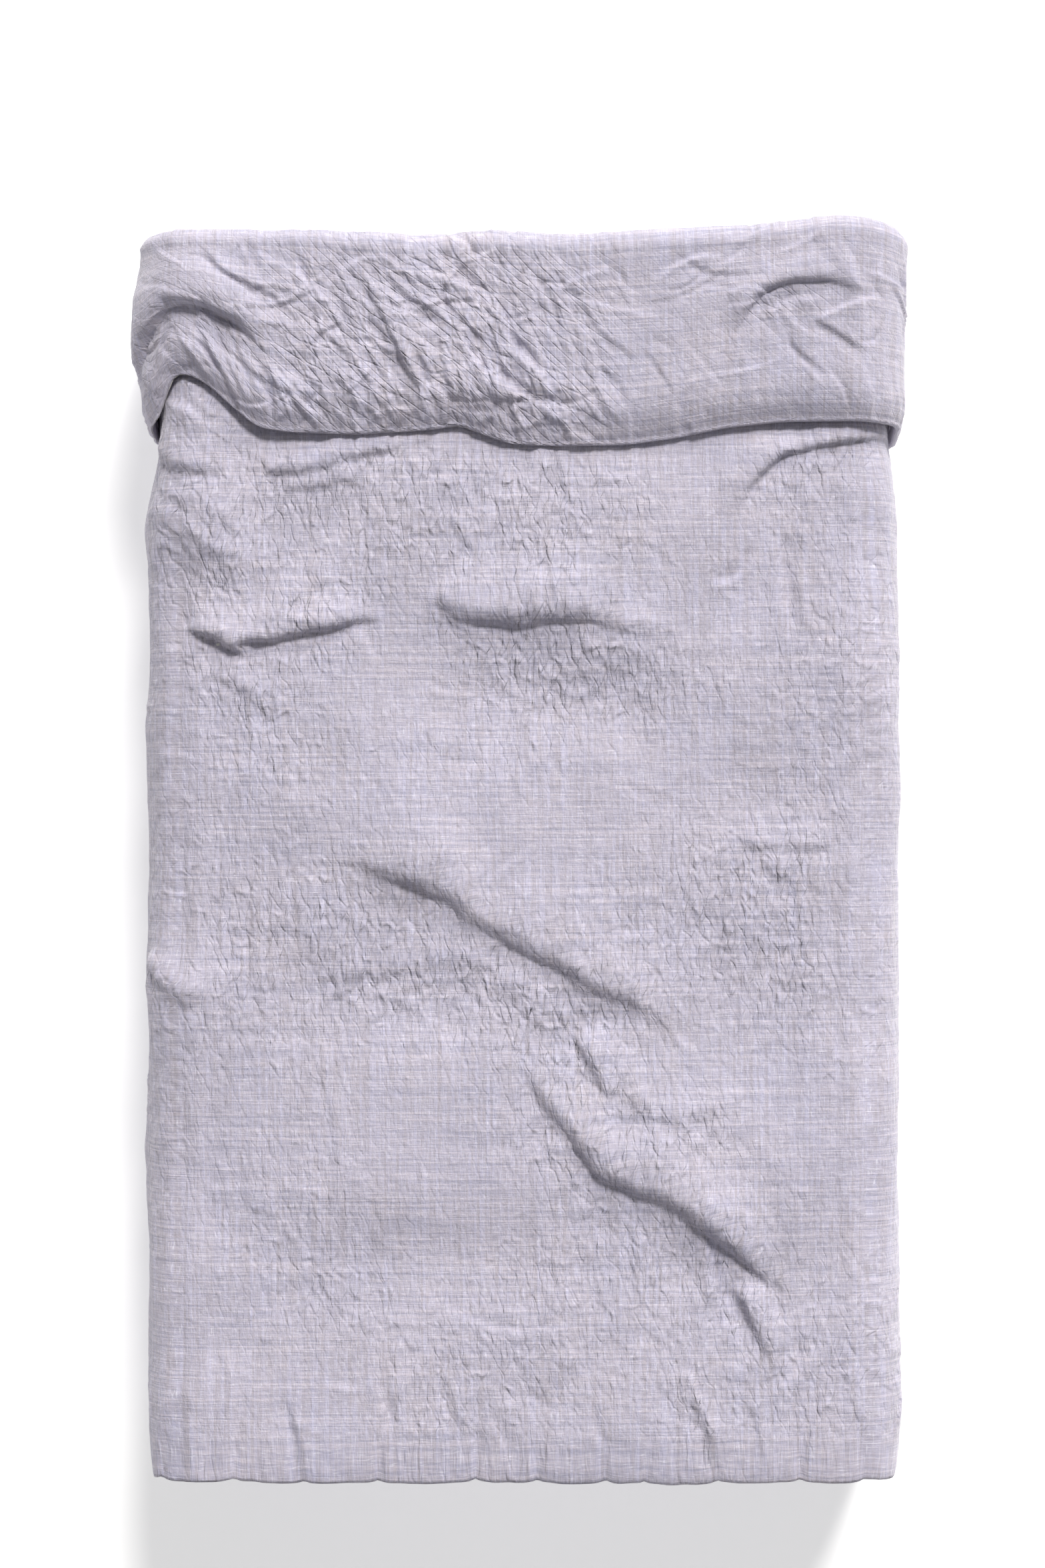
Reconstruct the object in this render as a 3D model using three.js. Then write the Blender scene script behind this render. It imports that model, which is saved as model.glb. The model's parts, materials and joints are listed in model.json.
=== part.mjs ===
// A single duvet in its cover, as it lies over a bed: the body covers the mattress and hangs down
// both sides, the head end is turned down on top of it, and the foot end has an opening closed
// with press studs. Millimetres, +Z up, +X across the bed, +Y towards the head. The origin is on
// the floor, under the middle of the duvet. The mattress itself is not part of the object.
//
// Every soft piece is drawn flat, as it would be on a cutting table, and then laid over the bed:
//   s  runs across the cloth, 0 in the middle
//   t  runs along it, 0 at the foot edge
//   h  runs through it, 0 on the mattress side of the cover
// drape(s, t, h) gives the place of such a point on the bed.
import * as THREE from "three";

// ---- Driving dimensions ----
const CLOTH_WIDTH = 1460; // the filled cover, seam to seam
const BODY_LENGTH = 1625; // foot edge to the turn at the head
const TURN_DOWN_LENGTH = 240; // turned part, from the turn to its free edge
const BODY_LOFT = 36; // thickness of the duvet where it lies single
const TURN_DOWN_LOFT = 20; // the turned part is thinner, pressed by its own weight
const MATTRESS_WIDTH = 900;
const MATTRESS_CLEARANCE = 10; // between the mattress side and the hanging cloth, each side
const MATTRESS_EDGE_RADIUS = 30; // inside radius of the bend over the mattress edge
const LAYER_GAP = 2; // between the body and the part turned down on it
const COVER_CLOTH = 1;
const SHELL_CLOTH = 0.6; // the insert's own shell
const SLIP = 1; // air between one layer of cloth and the next
const SEAM_WIDTH = 8;
const SEAM_THICKNESS = 3;
const EDGE_TAPER = 60; // over this distance the duvet thins towards its seams
const SHELL_MARGIN = 14; // the insert stops this far inside the cover's seams
const FILL_MARGIN = 30; // and its filling this far
const POCKET_COLUMNS = 5;
const POCKET_ROWS = 4;
const POCKET_GAP = 3; // between two filling pockets, where the shell is stitched through
const POCKET_PINCH = 6; // how much a pocket's faces draw in at its stitched border
const PINCH_REACH = 45; // and how far from the border they are full again
const OPENING_WIDTH = 720; // the foot opening
const PLACKET_DEPTH = 38; // depth of the hems along the opening
const PLACKET_CLOTH = 1.4;
const PLACKET_BEND = 8; // inside radius where the hems turn down over the foot
const STUD_COUNT = 5;
const STUD_PITCH = 150;
const STUD_DROP = 24; // centre of a stud below the height where the foot bend ends
const STUD_DISC_RADIUS = 6;
const STUD_DISC_THICKNESS = 0.6;
const STUD_BALL_RADIUS = 2;
const STUD_BALL_HEIGHT = 0.9;
const STUD_BALL_CHAMFER = 0.3;
const STUD_SOCKET_THICKNESS = 1.2;
const STUD_SOCKET_DEPTH = 0.9;
const STUD_CLEARANCE = 0.3; // between a disc and its hem, and round a ball in its socket
const STUD_DISC_GAP = 0.2; // between the two discs of a closed stud
const TIE_WIDTH = 8;
const TIE_LENGTH = 90;
const TIE_THICKNESS = 0.8;
const LABEL_WIDTH = 30;
const LABEL_DEPTH = 42;
const LABEL_THICKNESS = 0.6;
const LABEL_FROM_OPENING = 22;
const SEWN_GAP = 0.3; // between two pieces that are sewn edge to edge
const BEND_STEPS = 3; // facets in the bend over the mattress edge
const FOLD_STEPS = 5; // facets in the turn at the head

// ---- Derived dimensions ----
const halfCloth = CLOTH_WIDTH / 2;
const bendStart = MATTRESS_WIDTH / 2 + MATTRESS_CLEARANCE - MATTRESS_EDGE_RADIUS;
const bendStep = ((Math.PI / 2) * (MATTRESS_EDGE_RADIUS + BODY_LOFT / 2)) / BEND_STEPS;
const turnDownMiddle = BODY_LOFT + LAYER_GAP + TURN_DOWN_LOFT / 2;
const foldLength = (Math.PI * (LAYER_GAP + (BODY_LOFT + TURN_DOWN_LOFT) / 2)) / 2;
const turnStart = BODY_LENGTH + foldLength;
const clothLength = turnStart + TURN_DOWN_LENGTH;
const sideDrop = halfCloth - bendStart - BEND_STEPS * bendStep;
const mattressTop = MATTRESS_EDGE_RADIUS + sideDrop + SEAM_WIDTH;
// Between the two hems lie the closed studs.
const studStack = STUD_DISC_THICKNESS + STUD_DISC_GAP + STUD_SOCKET_THICKNESS;
const placketSpace = studStack + 2 * STUD_CLEARANCE;
const footReach = PLACKET_BEND + 2 * PLACKET_CLOTH + placketSpace;
const headReach = LAYER_GAP / 2 + (BODY_LOFT + TURN_DOWN_LOFT) / 2;
// The foot edge's place along Y puts the middle of the whole object over the origin.
const footY = -(BODY_LENGTH + headReach - footReach) / 2;
const turnY = footY + BODY_LENGTH;
const layers = COVER_CLOTH + SLIP + SHELL_CLOTH + SLIP; // from the cover's outside to the filling

// ---- The map from the flat cloth to the bed ----

// How far a point is round the turn at the head: 0 on the body, 1 on the part turned down.
const turned = (t) => THREE.MathUtils.clamp((t - BODY_LENGTH) / foldLength, 0, 1);

// Where the cloth creases as it thins towards a sewn edge, as distances from that edge.
const taperStops = [0, SHELL_MARGIN / 2, SHELL_MARGIN, FILL_MARGIN, EDGE_TAPER];

// Fullness so far from a sewn edge, 0 to 1: a quarter round, straight between the stops.
function fullness(distance) {
  const round = (stop) => Math.sqrt(1 - (1 - stop / EDGE_TAPER) ** 2);
  const place = THREE.MathUtils.clamp(distance, 0, EDGE_TAPER);
  const next = taperStops.findIndex((stop) => stop > 0 && place <= stop);
  const [low, high] = [taperStops[next - 1], taperStops[next]];
  return THREE.MathUtils.mapLinear(place, low, high, round(low), round(high));
}

// Thickness of the whole duvet at a point: full inside, thin along its sewn edges.
function loftAt(s, t) {
  const full = THREE.MathUtils.lerp(BODY_LOFT, TURN_DOWN_LOFT, turned(t));
  const share = fullness(halfCloth - Math.abs(s)) * fullness(t) * fullness(clothLength - t);
  return SEAM_THICKNESS + (full - SEAM_THICKNESS) * share;
}

// The body thins towards the mattress and the turned part towards the body, so both lie flat.
function liftAt(s, t) {
  const full = THREE.MathUtils.lerp(BODY_LOFT, TURN_DOWN_LOFT, turned(t));
  return turned(t) * (full - loftAt(s, t));
}

// Where the cloth creases as it bends over the mattress edge.
const bendStops = Array.from({ length: 2 * BEND_STEPS }, (_, i) => bendStart + i * bendStep);

// First the turn at the head, which changes the height over the mattress and the place along Y,
// then the bend over the mattress edge, about an axis along Y.
function drapeRound(s, t, h) {
  const turn = turned(t);
  const angle = turn * Math.PI;
  const full = THREE.MathUtils.lerp(BODY_LOFT, TURN_DOWN_LOFT, turn);
  const axisHeight = BODY_LOFT + LAYER_GAP / 2;
  const reach = full + LAYER_GAP / 2 - h;
  const height = axisHeight - reach * Math.cos(angle);
  const along = Math.min(t, BODY_LENGTH) - Math.max(0, t - turnStart);
  const y = footY + along + reach * Math.sin(angle);

  const middle = THREE.MathUtils.lerp(BODY_LOFT / 2, turnDownMiddle, (1 - Math.cos(angle)) / 2);
  const over = Math.max(0, Math.abs(s) - bendStart);
  const bend = Math.min(over / (MATTRESS_EDGE_RADIUS + middle), Math.PI / 2);
  const hang = over - bend * (MATTRESS_EDGE_RADIUS + middle);
  const radius = MATTRESS_EDGE_RADIUS + height;
  const x = Math.min(Math.abs(s), bendStart) + radius * Math.sin(bend);
  const z = mattressTop - MATTRESS_EDGE_RADIUS + radius * Math.cos(bend) - hang;
  return new THREE.Vector3(Math.sign(s) * x, y, z);
}

// The same, straight from one crease to the next, so that layers cut at different places still
// lie evenly on each other.
function drape(s, t, h) {
  const next = bendStops.findIndex((stop) => Math.abs(s) < stop);
  if (next < 1) return drapeRound(s, t, h);
  const [low, high] = [bendStops[next - 1], bendStops[next]];
  const share = (Math.abs(s) - low) / (high - low);
  return drapeRound(Math.sign(s) * low, t, h).lerp(drapeRound(Math.sign(s) * high, t, h), share);
}

// ---- Stops: where the flat cloth may crease, so that neighbouring layers crease alike ----
const halfStops = [0, ...bendStops, ...taperStops.map((inset) => halfCloth - inset)];
const acrossStops = [...halfStops.map((s) => -s), ...halfStops];
const foldStops = Array.from(
  { length: FOLD_STEPS + 1 },
  (_, i) => BODY_LENGTH + (foldLength * i) / FOLD_STEPS,
);
const alongStops = [...taperStops, ...foldStops, ...taperStops.map((inset) => clothLength - inset)];

const MERGE = 1.5; // stops nearer than this to a range's end are left out

function stopsIn([low, high], stops) {
  const inside = stops.filter((stop) => stop > low + MERGE && stop < high - MERGE);
  return [low, ...[...new Set(inside)].sort((a, b) => a - b), high];
}

// ---- Materials ----
const finish = (color, roughness, metalness = 0) =>
  new THREE.MeshStandardMaterial({ color, roughness, metalness });
const linen = finish("#a9a0b4", 0.9);
const shellCotton = finish("#ece9e2", 0.8);
const fibreFill = finish("#f4f3ef", 1);
const tape = finish("#d8d4da", 0.85);
const labelSatin = finish("#f2f1ee", 0.5);
const studMetal = finish("#b9bcc0", 0.35, 1);

const duvet = new THREE.Group();

function addMesh(name, geometry, material) {
  const mesh = new THREE.Mesh(geometry, material);
  mesh.name = name;
  duvet.add(mesh);
  return mesh;
}

// A box of flat cloth over a range of s and t, between two heights, laid over the bed by place.
function clothPiece(name, material, [acrossRange, alongRange], under, over, place = drape, extra = []) {
  const across = stopsIn(acrossRange, [...acrossStops, ...extra.map(([s]) => s)]);
  const along = stopsIn(alongRange, [...alongStops, ...extra.map(([, t]) => t)]);
  const geometry = new THREE.BoxGeometry(1, 1, 1, across.length - 1, along.length - 1, 1);
  const points = geometry.getAttribute("position");
  for (let i = 0; i < points.count; i++) {
    const s = across[Math.round((points.getX(i) + 0.5) * (across.length - 1))];
    const t = along[Math.round((points.getY(i) + 0.5) * (along.length - 1))];
    const h = points.getZ(i) < 0 ? under(s, t) : over(s, t);
    points.setXYZ(i, ...place(s, t, h));
  }
  geometry.computeVertexNormals();
  return addMesh(name, geometry, material);
}

// A layer of cloth, from so far inside the mattress side (or the face side) of the duvet.
const fromBack = (depth) => (s, t) => liftAt(s, t) + depth;
const fromFace = (depth) => (s, t) => liftAt(s, t) + loftAt(s, t) - depth;

const wholeWidth = [-halfCloth, halfCloth];
const parts = [
  { suffix: "", range: [0, BODY_LENGTH] },
  { suffix: "_turned", range: [turnStart, clothLength] },
];
const inset = ([low, high], distance) => [
  low === 0 ? distance : low,
  high === clothLength ? high - distance : high,
];
const shellWidth = [-halfCloth + SHELL_MARGIN, halfCloth - SHELL_MARGIN];
const fillWidth = [-halfCloth + FILL_MARGIN, halfCloth - FILL_MARGIN];

// ---- The cover and the insert's shell: a back and a face panel each ----
function addPanels({ suffix, range }) {
  const shellArea = [shellWidth, inset(range, SHELL_MARGIN)];
  const outer = COVER_CLOTH + SLIP;
  clothPiece(`cover_back${suffix}`, linen, [wholeWidth, range], fromBack(0), fromBack(COVER_CLOTH));
  clothPiece(`cover_face${suffix}`, linen, [wholeWidth, range], fromFace(COVER_CLOTH), fromFace(0));
  clothPiece(
    `insert_shell_back${suffix}`, shellCotton, shellArea,
    fromBack(outer), fromBack(outer + SHELL_CLOTH),
  );
  clothPiece(
    `insert_shell_face${suffix}`, shellCotton, shellArea,
    fromFace(outer + SHELL_CLOTH), fromFace(outer),
  );
}

// ---- The turn at the head: cover and filling run round it in one piece each ----
function addFold() {
  const range = [BODY_LENGTH + SLIP, turnStart - SLIP];
  clothPiece("cover_back_fold", linen, [wholeWidth, range], fromBack(0), fromBack(COVER_CLOTH));
  clothPiece("insert_fold", shellCotton, [fillWidth, range], fromBack(layers), fromFace(layers));
}

// ---- The insert's filling, in stitched pockets ----
function addPocket(name, [s0, s1], [t0, t1]) {
  const fullAt = (s, t) => {
    const border = Math.min(s - s0, s1 - s, t - t0, t1 - t);
    return THREE.MathUtils.clamp(border / PINCH_REACH, 0, 1);
  };
  const thinnest = (s, t) => loftAt(s, t) / 2 - layers - SLIP;
  const drawn = (s, t) => layers + Math.min(POCKET_PINCH * (1 - fullAt(s, t)), thinnest(s, t));
  const under = (s, t) => fromBack(drawn(s, t))(s, t);
  const over = (s, t) => fromFace(drawn(s, t))(s, t);
  const full = [[s0 + PINCH_REACH, t0 + PINCH_REACH], [s1 - PINCH_REACH, t1 - PINCH_REACH]];
  clothPiece(name, fibreFill, [[s0, s1], [t0, t1]], under, over, drape, full);
}

function addPocketGrid(prefix, rows, range) {
  const [t0, t1] = inset(range, FILL_MARGIN);
  const columnPitch = CLOTH_WIDTH / POCKET_COLUMNS;
  const rowPitch = (range[1] - range[0]) / rows;
  for (let row = 0; row < rows; row++) {
    const low = Math.max(t0, range[0] + row * rowPitch + POCKET_GAP / 2);
    const high = Math.min(t1, range[0] + (row + 1) * rowPitch - POCKET_GAP / 2);
    for (let column = 0; column < POCKET_COLUMNS; column++) {
      const left = -halfCloth + column * columnPitch;
      const s0 = Math.max(fillWidth[0], left + POCKET_GAP / 2);
      const s1 = Math.min(fillWidth[1], left + columnPitch - POCKET_GAP / 2);
      const place = rows > 1 ? `${row + 1}_${column + 1}` : `${column + 1}`;
      addPocket(`${prefix}_${place}`, [s0, s1], [low, high]);
    }
  }
}

// ---- Sewn edges ----
function addSeams() {
  const seamBack = fromBack(0);
  const seamFace = fromFace(0);
  const inner = halfCloth + SEWN_GAP;
  const outer = halfCloth + SEAM_WIDTH;
  const sides = { left: [-outer, -inner], right: [inner, outer] };
  for (const [side, range] of Object.entries(sides)) {
    for (const { suffix, range: along } of parts) {
      clothPiece(`side_seam_${side}${suffix}`, linen, [range, along], seamBack, seamFace);
    }
  }
  const head = [clothLength + SEWN_GAP, clothLength + SEAM_WIDTH];
  clothPiece("head_seam_turned", linen, [wholeWidth, head], seamBack, seamFace);
  const foot = [-SEAM_WIDTH, -SEWN_GAP];
  const openingEnd = OPENING_WIDTH / 2 + SEWN_GAP;
  const sewn = { left: [-halfCloth, -openingEnd], right: [openingEnd, halfCloth] };
  for (const [side, range] of Object.entries(sewn)) {
    clothPiece(`foot_seam_${side}`, linen, [range, foot], seamBack, seamFace);
  }
}

// ---- The foot opening: two hems that turn down over the foot, with press studs between ----
// Here t runs back from the foot edge and h outwards from the inside of the inner hem.
function overFoot(s, t, h) {
  const arc = (Math.PI / 2) * PLACKET_BEND;
  const angle = Math.min(-t / PLACKET_BEND, Math.PI / 2);
  const hang = Math.max(0, -t - arc);
  const radius = PLACKET_BEND + h;
  const y = footY - radius * Math.sin(angle);
  const z = mattressTop - PLACKET_BEND + radius * Math.cos(angle) - hang;
  return new THREE.Vector3(s, y, z);
}

const flapStart = PLACKET_CLOTH + placketSpace; // inside of the outer hem
const footBendStops = [1, 2, 3].map((i) => [0, (-i * (Math.PI / 2) * PLACKET_BEND) / 3]);

function addPlackets() {
  const width = [-OPENING_WIDTH / 2, OPENING_WIDTH / 2];
  const area = [width, [-PLACKET_DEPTH, -2 * SEWN_GAP]];
  const flat = (h) => () => h;
  clothPiece("placket_back", linen, area, flat(0), flat(PLACKET_CLOTH), overFoot, footBendStops);
  clothPiece(
    "placket_face", linen, area,
    flat(flapStart), flat(flapStart + PLACKET_CLOTH), overFoot, footBendStops,
  );
}

// A press stud: a disc with a ball on the inner hem, and a disc with a socket on the outer one.
function addStud(name, profile, x, standoff) {
  const geometry = new THREE.LatheGeometry(profile.map(([r, z]) => new THREE.Vector2(r, z)), 24);
  const mesh = addMesh(name, geometry, studMetal);
  mesh.rotation.x = Math.PI; // the lathe's +Y becomes -Y, out of the foot
  mesh.position.set(x, footY - PLACKET_BEND - standoff, mattressTop - PLACKET_BEND - STUD_DROP);
}

function addStuds() {
  const top = STUD_DISC_THICKNESS + STUD_BALL_HEIGHT;
  const ball = [
    [0, 0], [STUD_DISC_RADIUS, 0], [STUD_DISC_RADIUS, STUD_DISC_THICKNESS],
    [STUD_BALL_RADIUS, STUD_DISC_THICKNESS], [STUD_BALL_RADIUS, top - STUD_BALL_CHAMFER],
    [STUD_BALL_RADIUS - STUD_BALL_CHAMFER, top], [0, top],
  ];
  const hole = STUD_BALL_RADIUS + STUD_CLEARANCE;
  const socket = [
    [0, STUD_SOCKET_DEPTH], [hole, STUD_SOCKET_DEPTH], [hole, 0],
    [STUD_DISC_RADIUS, 0], [STUD_DISC_RADIUS, STUD_SOCKET_THICKNESS], [0, STUD_SOCKET_THICKNESS],
  ];
  const backFace = PLACKET_CLOTH + STUD_CLEARANCE;
  const socketBase = flapStart - STUD_CLEARANCE - STUD_SOCKET_THICKNESS;
  for (let i = 0; i < STUD_COUNT; i++) {
    const x = (i - (STUD_COUNT - 1) / 2) * STUD_PITCH;
    addStud(`stud_ball_${i + 1}`, ball, x, backFace);
    addStud(`stud_socket_${i + 1}`, socket, x, socketBase);
  }
}

// ---- Small trim: the tapes that tie the insert into the cover's corners, and the care label ----
function addTies() {
  const along = { foot: [SHELL_MARGIN, SHELL_MARGIN + TIE_LENGTH] };
  along.head = [clothLength - SHELL_MARGIN - TIE_LENGTH, clothLength - SHELL_MARGIN];
  for (const [end, range] of Object.entries(along)) {
    const under = (s, t) => liftAt(s, t) + loftAt(s, t) / 2 - TIE_THICKNESS / 2;
    const over = (s, t) => under(s, t) + TIE_THICKNESS;
    const inner = halfCloth - SHELL_MARGIN + SLIP;
    clothPiece(`corner_tie_${end}_left`, tape, [[-inner - TIE_WIDTH, -inner], range], under, over);
    clothPiece(`corner_tie_${end}_right`, tape, [[inner, inner + TIE_WIDTH], range], under, over);
  }
}

// The label is caught in the foot seam and hangs from its outer edge.
function addCareLabel() {
  const label = addMesh(
    "care_label", new THREE.BoxGeometry(LABEL_WIDTH, LABEL_THICKNESS, LABEL_DEPTH), labelSatin,
  );
  label.position.set(
    (OPENING_WIDTH + LABEL_WIDTH) / 2 + LABEL_FROM_OPENING,
    footY - SEAM_WIDTH - SEWN_GAP - LABEL_THICKNESS / 2,
    mattressTop + (SEAM_THICKNESS - LABEL_DEPTH) / 2,
  );
}

parts.forEach(addPanels);
addFold();
addPocketGrid("fill_pocket", POCKET_ROWS, parts[0].range);
addPocketGrid("fill_pocket_turned", 1, parts[1].range);
addSeams();
addPlackets();
addStuds();
addTies();
addCareLabel();

export default duvet;
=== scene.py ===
"""A single duvet in a washed linen cover, laid over a bed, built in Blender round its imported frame.

Every soft piece is drawn flat and then laid over the bed by one map, lay(s, t, h):
  s  runs across the cloth, 0 in the middle
  t  runs along it, 0 at the foot edge
  h  runs through the duvet, 0 on the mattress side of the cover
All lengths are metres.
"""

import functools
import json
import math

import bmesh
import bpy
import numpy as np
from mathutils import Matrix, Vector, geometry


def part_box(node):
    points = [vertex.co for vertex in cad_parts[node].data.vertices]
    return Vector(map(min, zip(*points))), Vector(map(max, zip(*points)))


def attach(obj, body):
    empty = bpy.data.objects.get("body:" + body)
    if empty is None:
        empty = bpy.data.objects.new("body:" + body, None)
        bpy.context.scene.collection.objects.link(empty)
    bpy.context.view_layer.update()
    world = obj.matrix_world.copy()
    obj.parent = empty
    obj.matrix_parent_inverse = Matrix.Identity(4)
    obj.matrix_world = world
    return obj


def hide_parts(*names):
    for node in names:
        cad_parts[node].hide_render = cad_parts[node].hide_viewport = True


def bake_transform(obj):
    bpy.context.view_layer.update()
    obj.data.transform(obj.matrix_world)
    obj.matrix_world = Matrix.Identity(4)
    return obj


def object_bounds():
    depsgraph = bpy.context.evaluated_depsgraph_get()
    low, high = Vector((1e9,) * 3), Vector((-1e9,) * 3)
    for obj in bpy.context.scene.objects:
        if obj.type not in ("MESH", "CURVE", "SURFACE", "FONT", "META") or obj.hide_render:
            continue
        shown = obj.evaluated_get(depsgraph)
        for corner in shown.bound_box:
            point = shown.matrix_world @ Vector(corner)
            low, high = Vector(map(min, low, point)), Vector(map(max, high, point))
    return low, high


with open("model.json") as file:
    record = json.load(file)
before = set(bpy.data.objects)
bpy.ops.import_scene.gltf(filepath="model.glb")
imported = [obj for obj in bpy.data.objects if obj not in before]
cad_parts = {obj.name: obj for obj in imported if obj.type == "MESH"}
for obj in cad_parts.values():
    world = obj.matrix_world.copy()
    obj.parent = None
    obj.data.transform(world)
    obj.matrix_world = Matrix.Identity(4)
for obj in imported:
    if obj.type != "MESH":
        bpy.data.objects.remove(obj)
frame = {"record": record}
cad_low, cad_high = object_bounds()

bl_info = {
    "name": "Washed Linen Duvet",
    "version": (1, 0, 0),
    "blender": (4, 5, 0),
    "location": "View3D > Sidebar > Duvet",
    "description": "Builds a crumpled linen duvet, turned down once, over its packed frame",
    "category": "Mesh",
}

MM = 0.001

# ---- Sizes read off the frame ----
face_low, face_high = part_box("cover_face")
turned_low, turned_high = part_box("cover_back_turned")
hem_low, hem_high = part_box("side_seam_right")
placket_low, placket_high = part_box("placket_face")
inner_low, inner_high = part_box("placket_back")
ball_low, ball_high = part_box("stud_ball_1")
socket_low, socket_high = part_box("stud_socket_1")
label_low, label_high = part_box("care_label")

MATTRESS_TOP = frame["record"]["mounts"][0]["pos_m"][2]
FOOT_Y = face_low.y
TURN_Y = face_high.y
LOFT = face_high.z - MATTRESS_TOP
LAYER_GAP = 2 * MM  # between the body and the part turned down on it
TURN_LOFT = turned_high.z - face_high.z - LAYER_GAP
EDGE_RADIUS = 30 * MM  # of the bend over the mattress edge
EDGE_TAPER = 60 * MM  # over this distance the duvet thins towards its seams
SEAM_WIDTH = hem_high.z
SEAM_THICKNESS = hem_high.x - hem_low.x
SHELL_MARGIN = 14 * MM  # the insert stops this far inside the cover's seams
FILL_MARGIN = 30 * MM  # and its filling this far
POCKETS = (5, 4)  # columns and rows of the insert's filling
POCKET_GAP = 3 * MM
TURN_BODY = "turn"  # stands for a piece that bends between the body and the turned part

BEND_START = hem_low.x - EDGE_RADIUS
BEND_LENGTH = math.pi / 2 * (EDGE_RADIUS + LOFT / 2)
HALF_CLOTH = BEND_START + BEND_LENGTH + MATTRESS_TOP - EDGE_RADIUS - SEAM_WIDTH
BODY_LENGTH = TURN_Y - FOOT_Y
FOLD_LENGTH = math.pi / 2 * (LAYER_GAP + (LOFT + TURN_LOFT) / 2)
TURN_START = BODY_LENGTH + FOLD_LENGTH
TURN_LENGTH = TURN_Y - turned_low.y
CLOTH_LENGTH = TURN_START + TURN_LENGTH
TURN_MIDDLE = LOFT + LAYER_GAP + TURN_LOFT / 2

OPENING = placket_high.x - placket_low.x
PLACKET_BEND = 8 * MM
PLACKET_DEPTH = PLACKET_BEND * (math.pi / 2 - 1) + MATTRESS_TOP - inner_low.z
PLACKET_CLOTH = inner_high.z - MATTRESS_TOP
FLAP_START = placket_high.z - MATTRESS_TOP - PLACKET_CLOTH

# ---- The map from the flat cloth to the bed ----
def ease(x):
    x = np.clip(x, 0, 1)
    return x * x * (3 - 2 * x)


def mix(a, b, share):
    return a + (b - a) * share


def fullness(distance):
    """How full the duvet is so far from a sewn edge, 0 to 1, on a quarter round."""
    place = np.clip(distance / EDGE_TAPER, 0, 1)
    return np.sqrt(1 - (1 - place) ** 2)


def turned(t):
    return np.clip((t - BODY_LENGTH) / FOLD_LENGTH, 0, 1)


def full_loft(t):
    return mix(LOFT, TURN_LOFT, turned(t))


def loft_at(s, t):
    """Thickness of the whole duvet: full inside, thin along its sewn sides and foot."""
    share = fullness(HALF_CLOTH - np.abs(s)) * fullness(t + 0.006)
    return SEAM_THICKNESS + (full_loft(t) - SEAM_THICKNESS) * share


# Waves of the hanging sides: (millimetres, waves along Y, start, how the two sides differ).
SIDE_WAVES = [(2.8, 23, 0, 1.3), (1.8, 41, 2.2, 1), (1.0, 77, 0.4, 0)]
SIDE_BULGE = 17  # millimetres that the filling pushes the sides out, most of it high up
SIDE_DROP = 0.24  # over this drop the waves grow
BULGE_END = 0.60  # Y where the bulge has gone, under the turned part


def sway(s, y):
    """How far the hanging sides stand out from a straight drop, in gentle waves."""
    down = (np.abs(s) - BEND_START - BEND_LENGTH / 3) / SIDE_DROP
    side = np.sign(s)
    waves = sum(size * np.sin(y * turns + start + differ * side)
                for size, turns, start, differ in SIDE_WAVES)
    bulge = SIDE_BULGE * np.sin(np.clip(down, 0, 1) ** 0.45 * math.pi) ** 0.7
    bulge *= ease((BULGE_END - y) / 0.16)
    return (ease(down) * (1 + 1.2 * ease(2 * down - 0.8)) * waves + bulge) * MM


def wandering_line(s, places, step=12 * MM):
    """A line through places (x, value), its corners rounded off."""
    x, value = np.array(places).T
    return sum(np.interp(s + k * step, x, value) for k in (-2, -1, 0, 1, 2)) / 5


# The free edge of the turned part wanders: places (x, y) from left to right.
FREE_EDGE = [
    (-0.75, 0.552), (-0.60, 0.560), (-0.53, 0.575), (-0.494, 0.592), (-0.4876, 0.619),
    (-0.474, 0.639), (-0.447, 0.640), (-0.417, 0.626), (-0.397, 0.6055), (-0.3527, 0.5685),
    (-0.310, 0.562), (-0.218, 0.5585), (-0.117, 0.565), (-0.084, 0.5715), (-0.05, 0.5575),
    (-0.017, 0.546), (0.05, 0.543), (0.137, 0.545), (0.20, 0.553), (0.27, 0.5675),
    (0.344, 0.5755), (0.45, 0.577), (0.52, 0.574), (0.60, 0.566), (0.75, 0.560),
]


def free_edge(s):
    return wandering_line(s, FREE_EDGE, 6 * MM)


# The head end isn't straight either: places (x, how far it stands out, in millimetres).
HEAD_LINE = [
    (-0.70, 0), (-0.52, 1), (-0.45, 2), (-0.30, 0), (-0.15, -11), (-0.06, -6), (0.06, -11),
    (0.27, 1), (0.36, 9), (0.42, 16), (0.48, 12), (0.52, 4), (0.60, 0), (0.70, 0),
]


HEAD_START, HEAD_EASE = 0.68, 0.14  # Y where that starts, and over how far it grows


def lay(s, t, h):
    """The place on the bed of points of the flat duvet. Its last axis is x, y and z."""
    s, t, h = np.broadcast_arrays(s, t, h)
    angle = turned(t) * math.pi
    reach = full_loft(t) + LAYER_GAP / 2 - h
    height = LOFT + LAYER_GAP / 2 - reach * np.cos(angle)
    share = (TURN_Y - free_edge(s)) / TURN_LENGTH
    along = np.minimum(t, BODY_LENGTH) - np.maximum(0, t - TURN_START) * share
    y = FOOT_Y + along + reach * np.sin(angle)
    y = y + wandering_line(s, HEAD_LINE) * MM * ease((y - HEAD_START) / HEAD_EASE)
    middle = mix(LOFT / 2, TURN_MIDDLE, (1 - np.cos(angle)) / 2)
    over = np.maximum(0, np.abs(s) - BEND_START)
    bend = np.minimum(over / (EDGE_RADIUS + middle), math.pi / 2)
    hang = over - bend * (EDGE_RADIUS + middle)
    radius = EDGE_RADIUS + height
    x = np.minimum(np.abs(s), BEND_START) + radius * np.sin(bend) + sway(s, y)
    z = MATTRESS_TOP - EDGE_RADIUS + radius * np.cos(bend) - hang
    return np.stack([np.sign(s) * x, y, z], -1)


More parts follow.
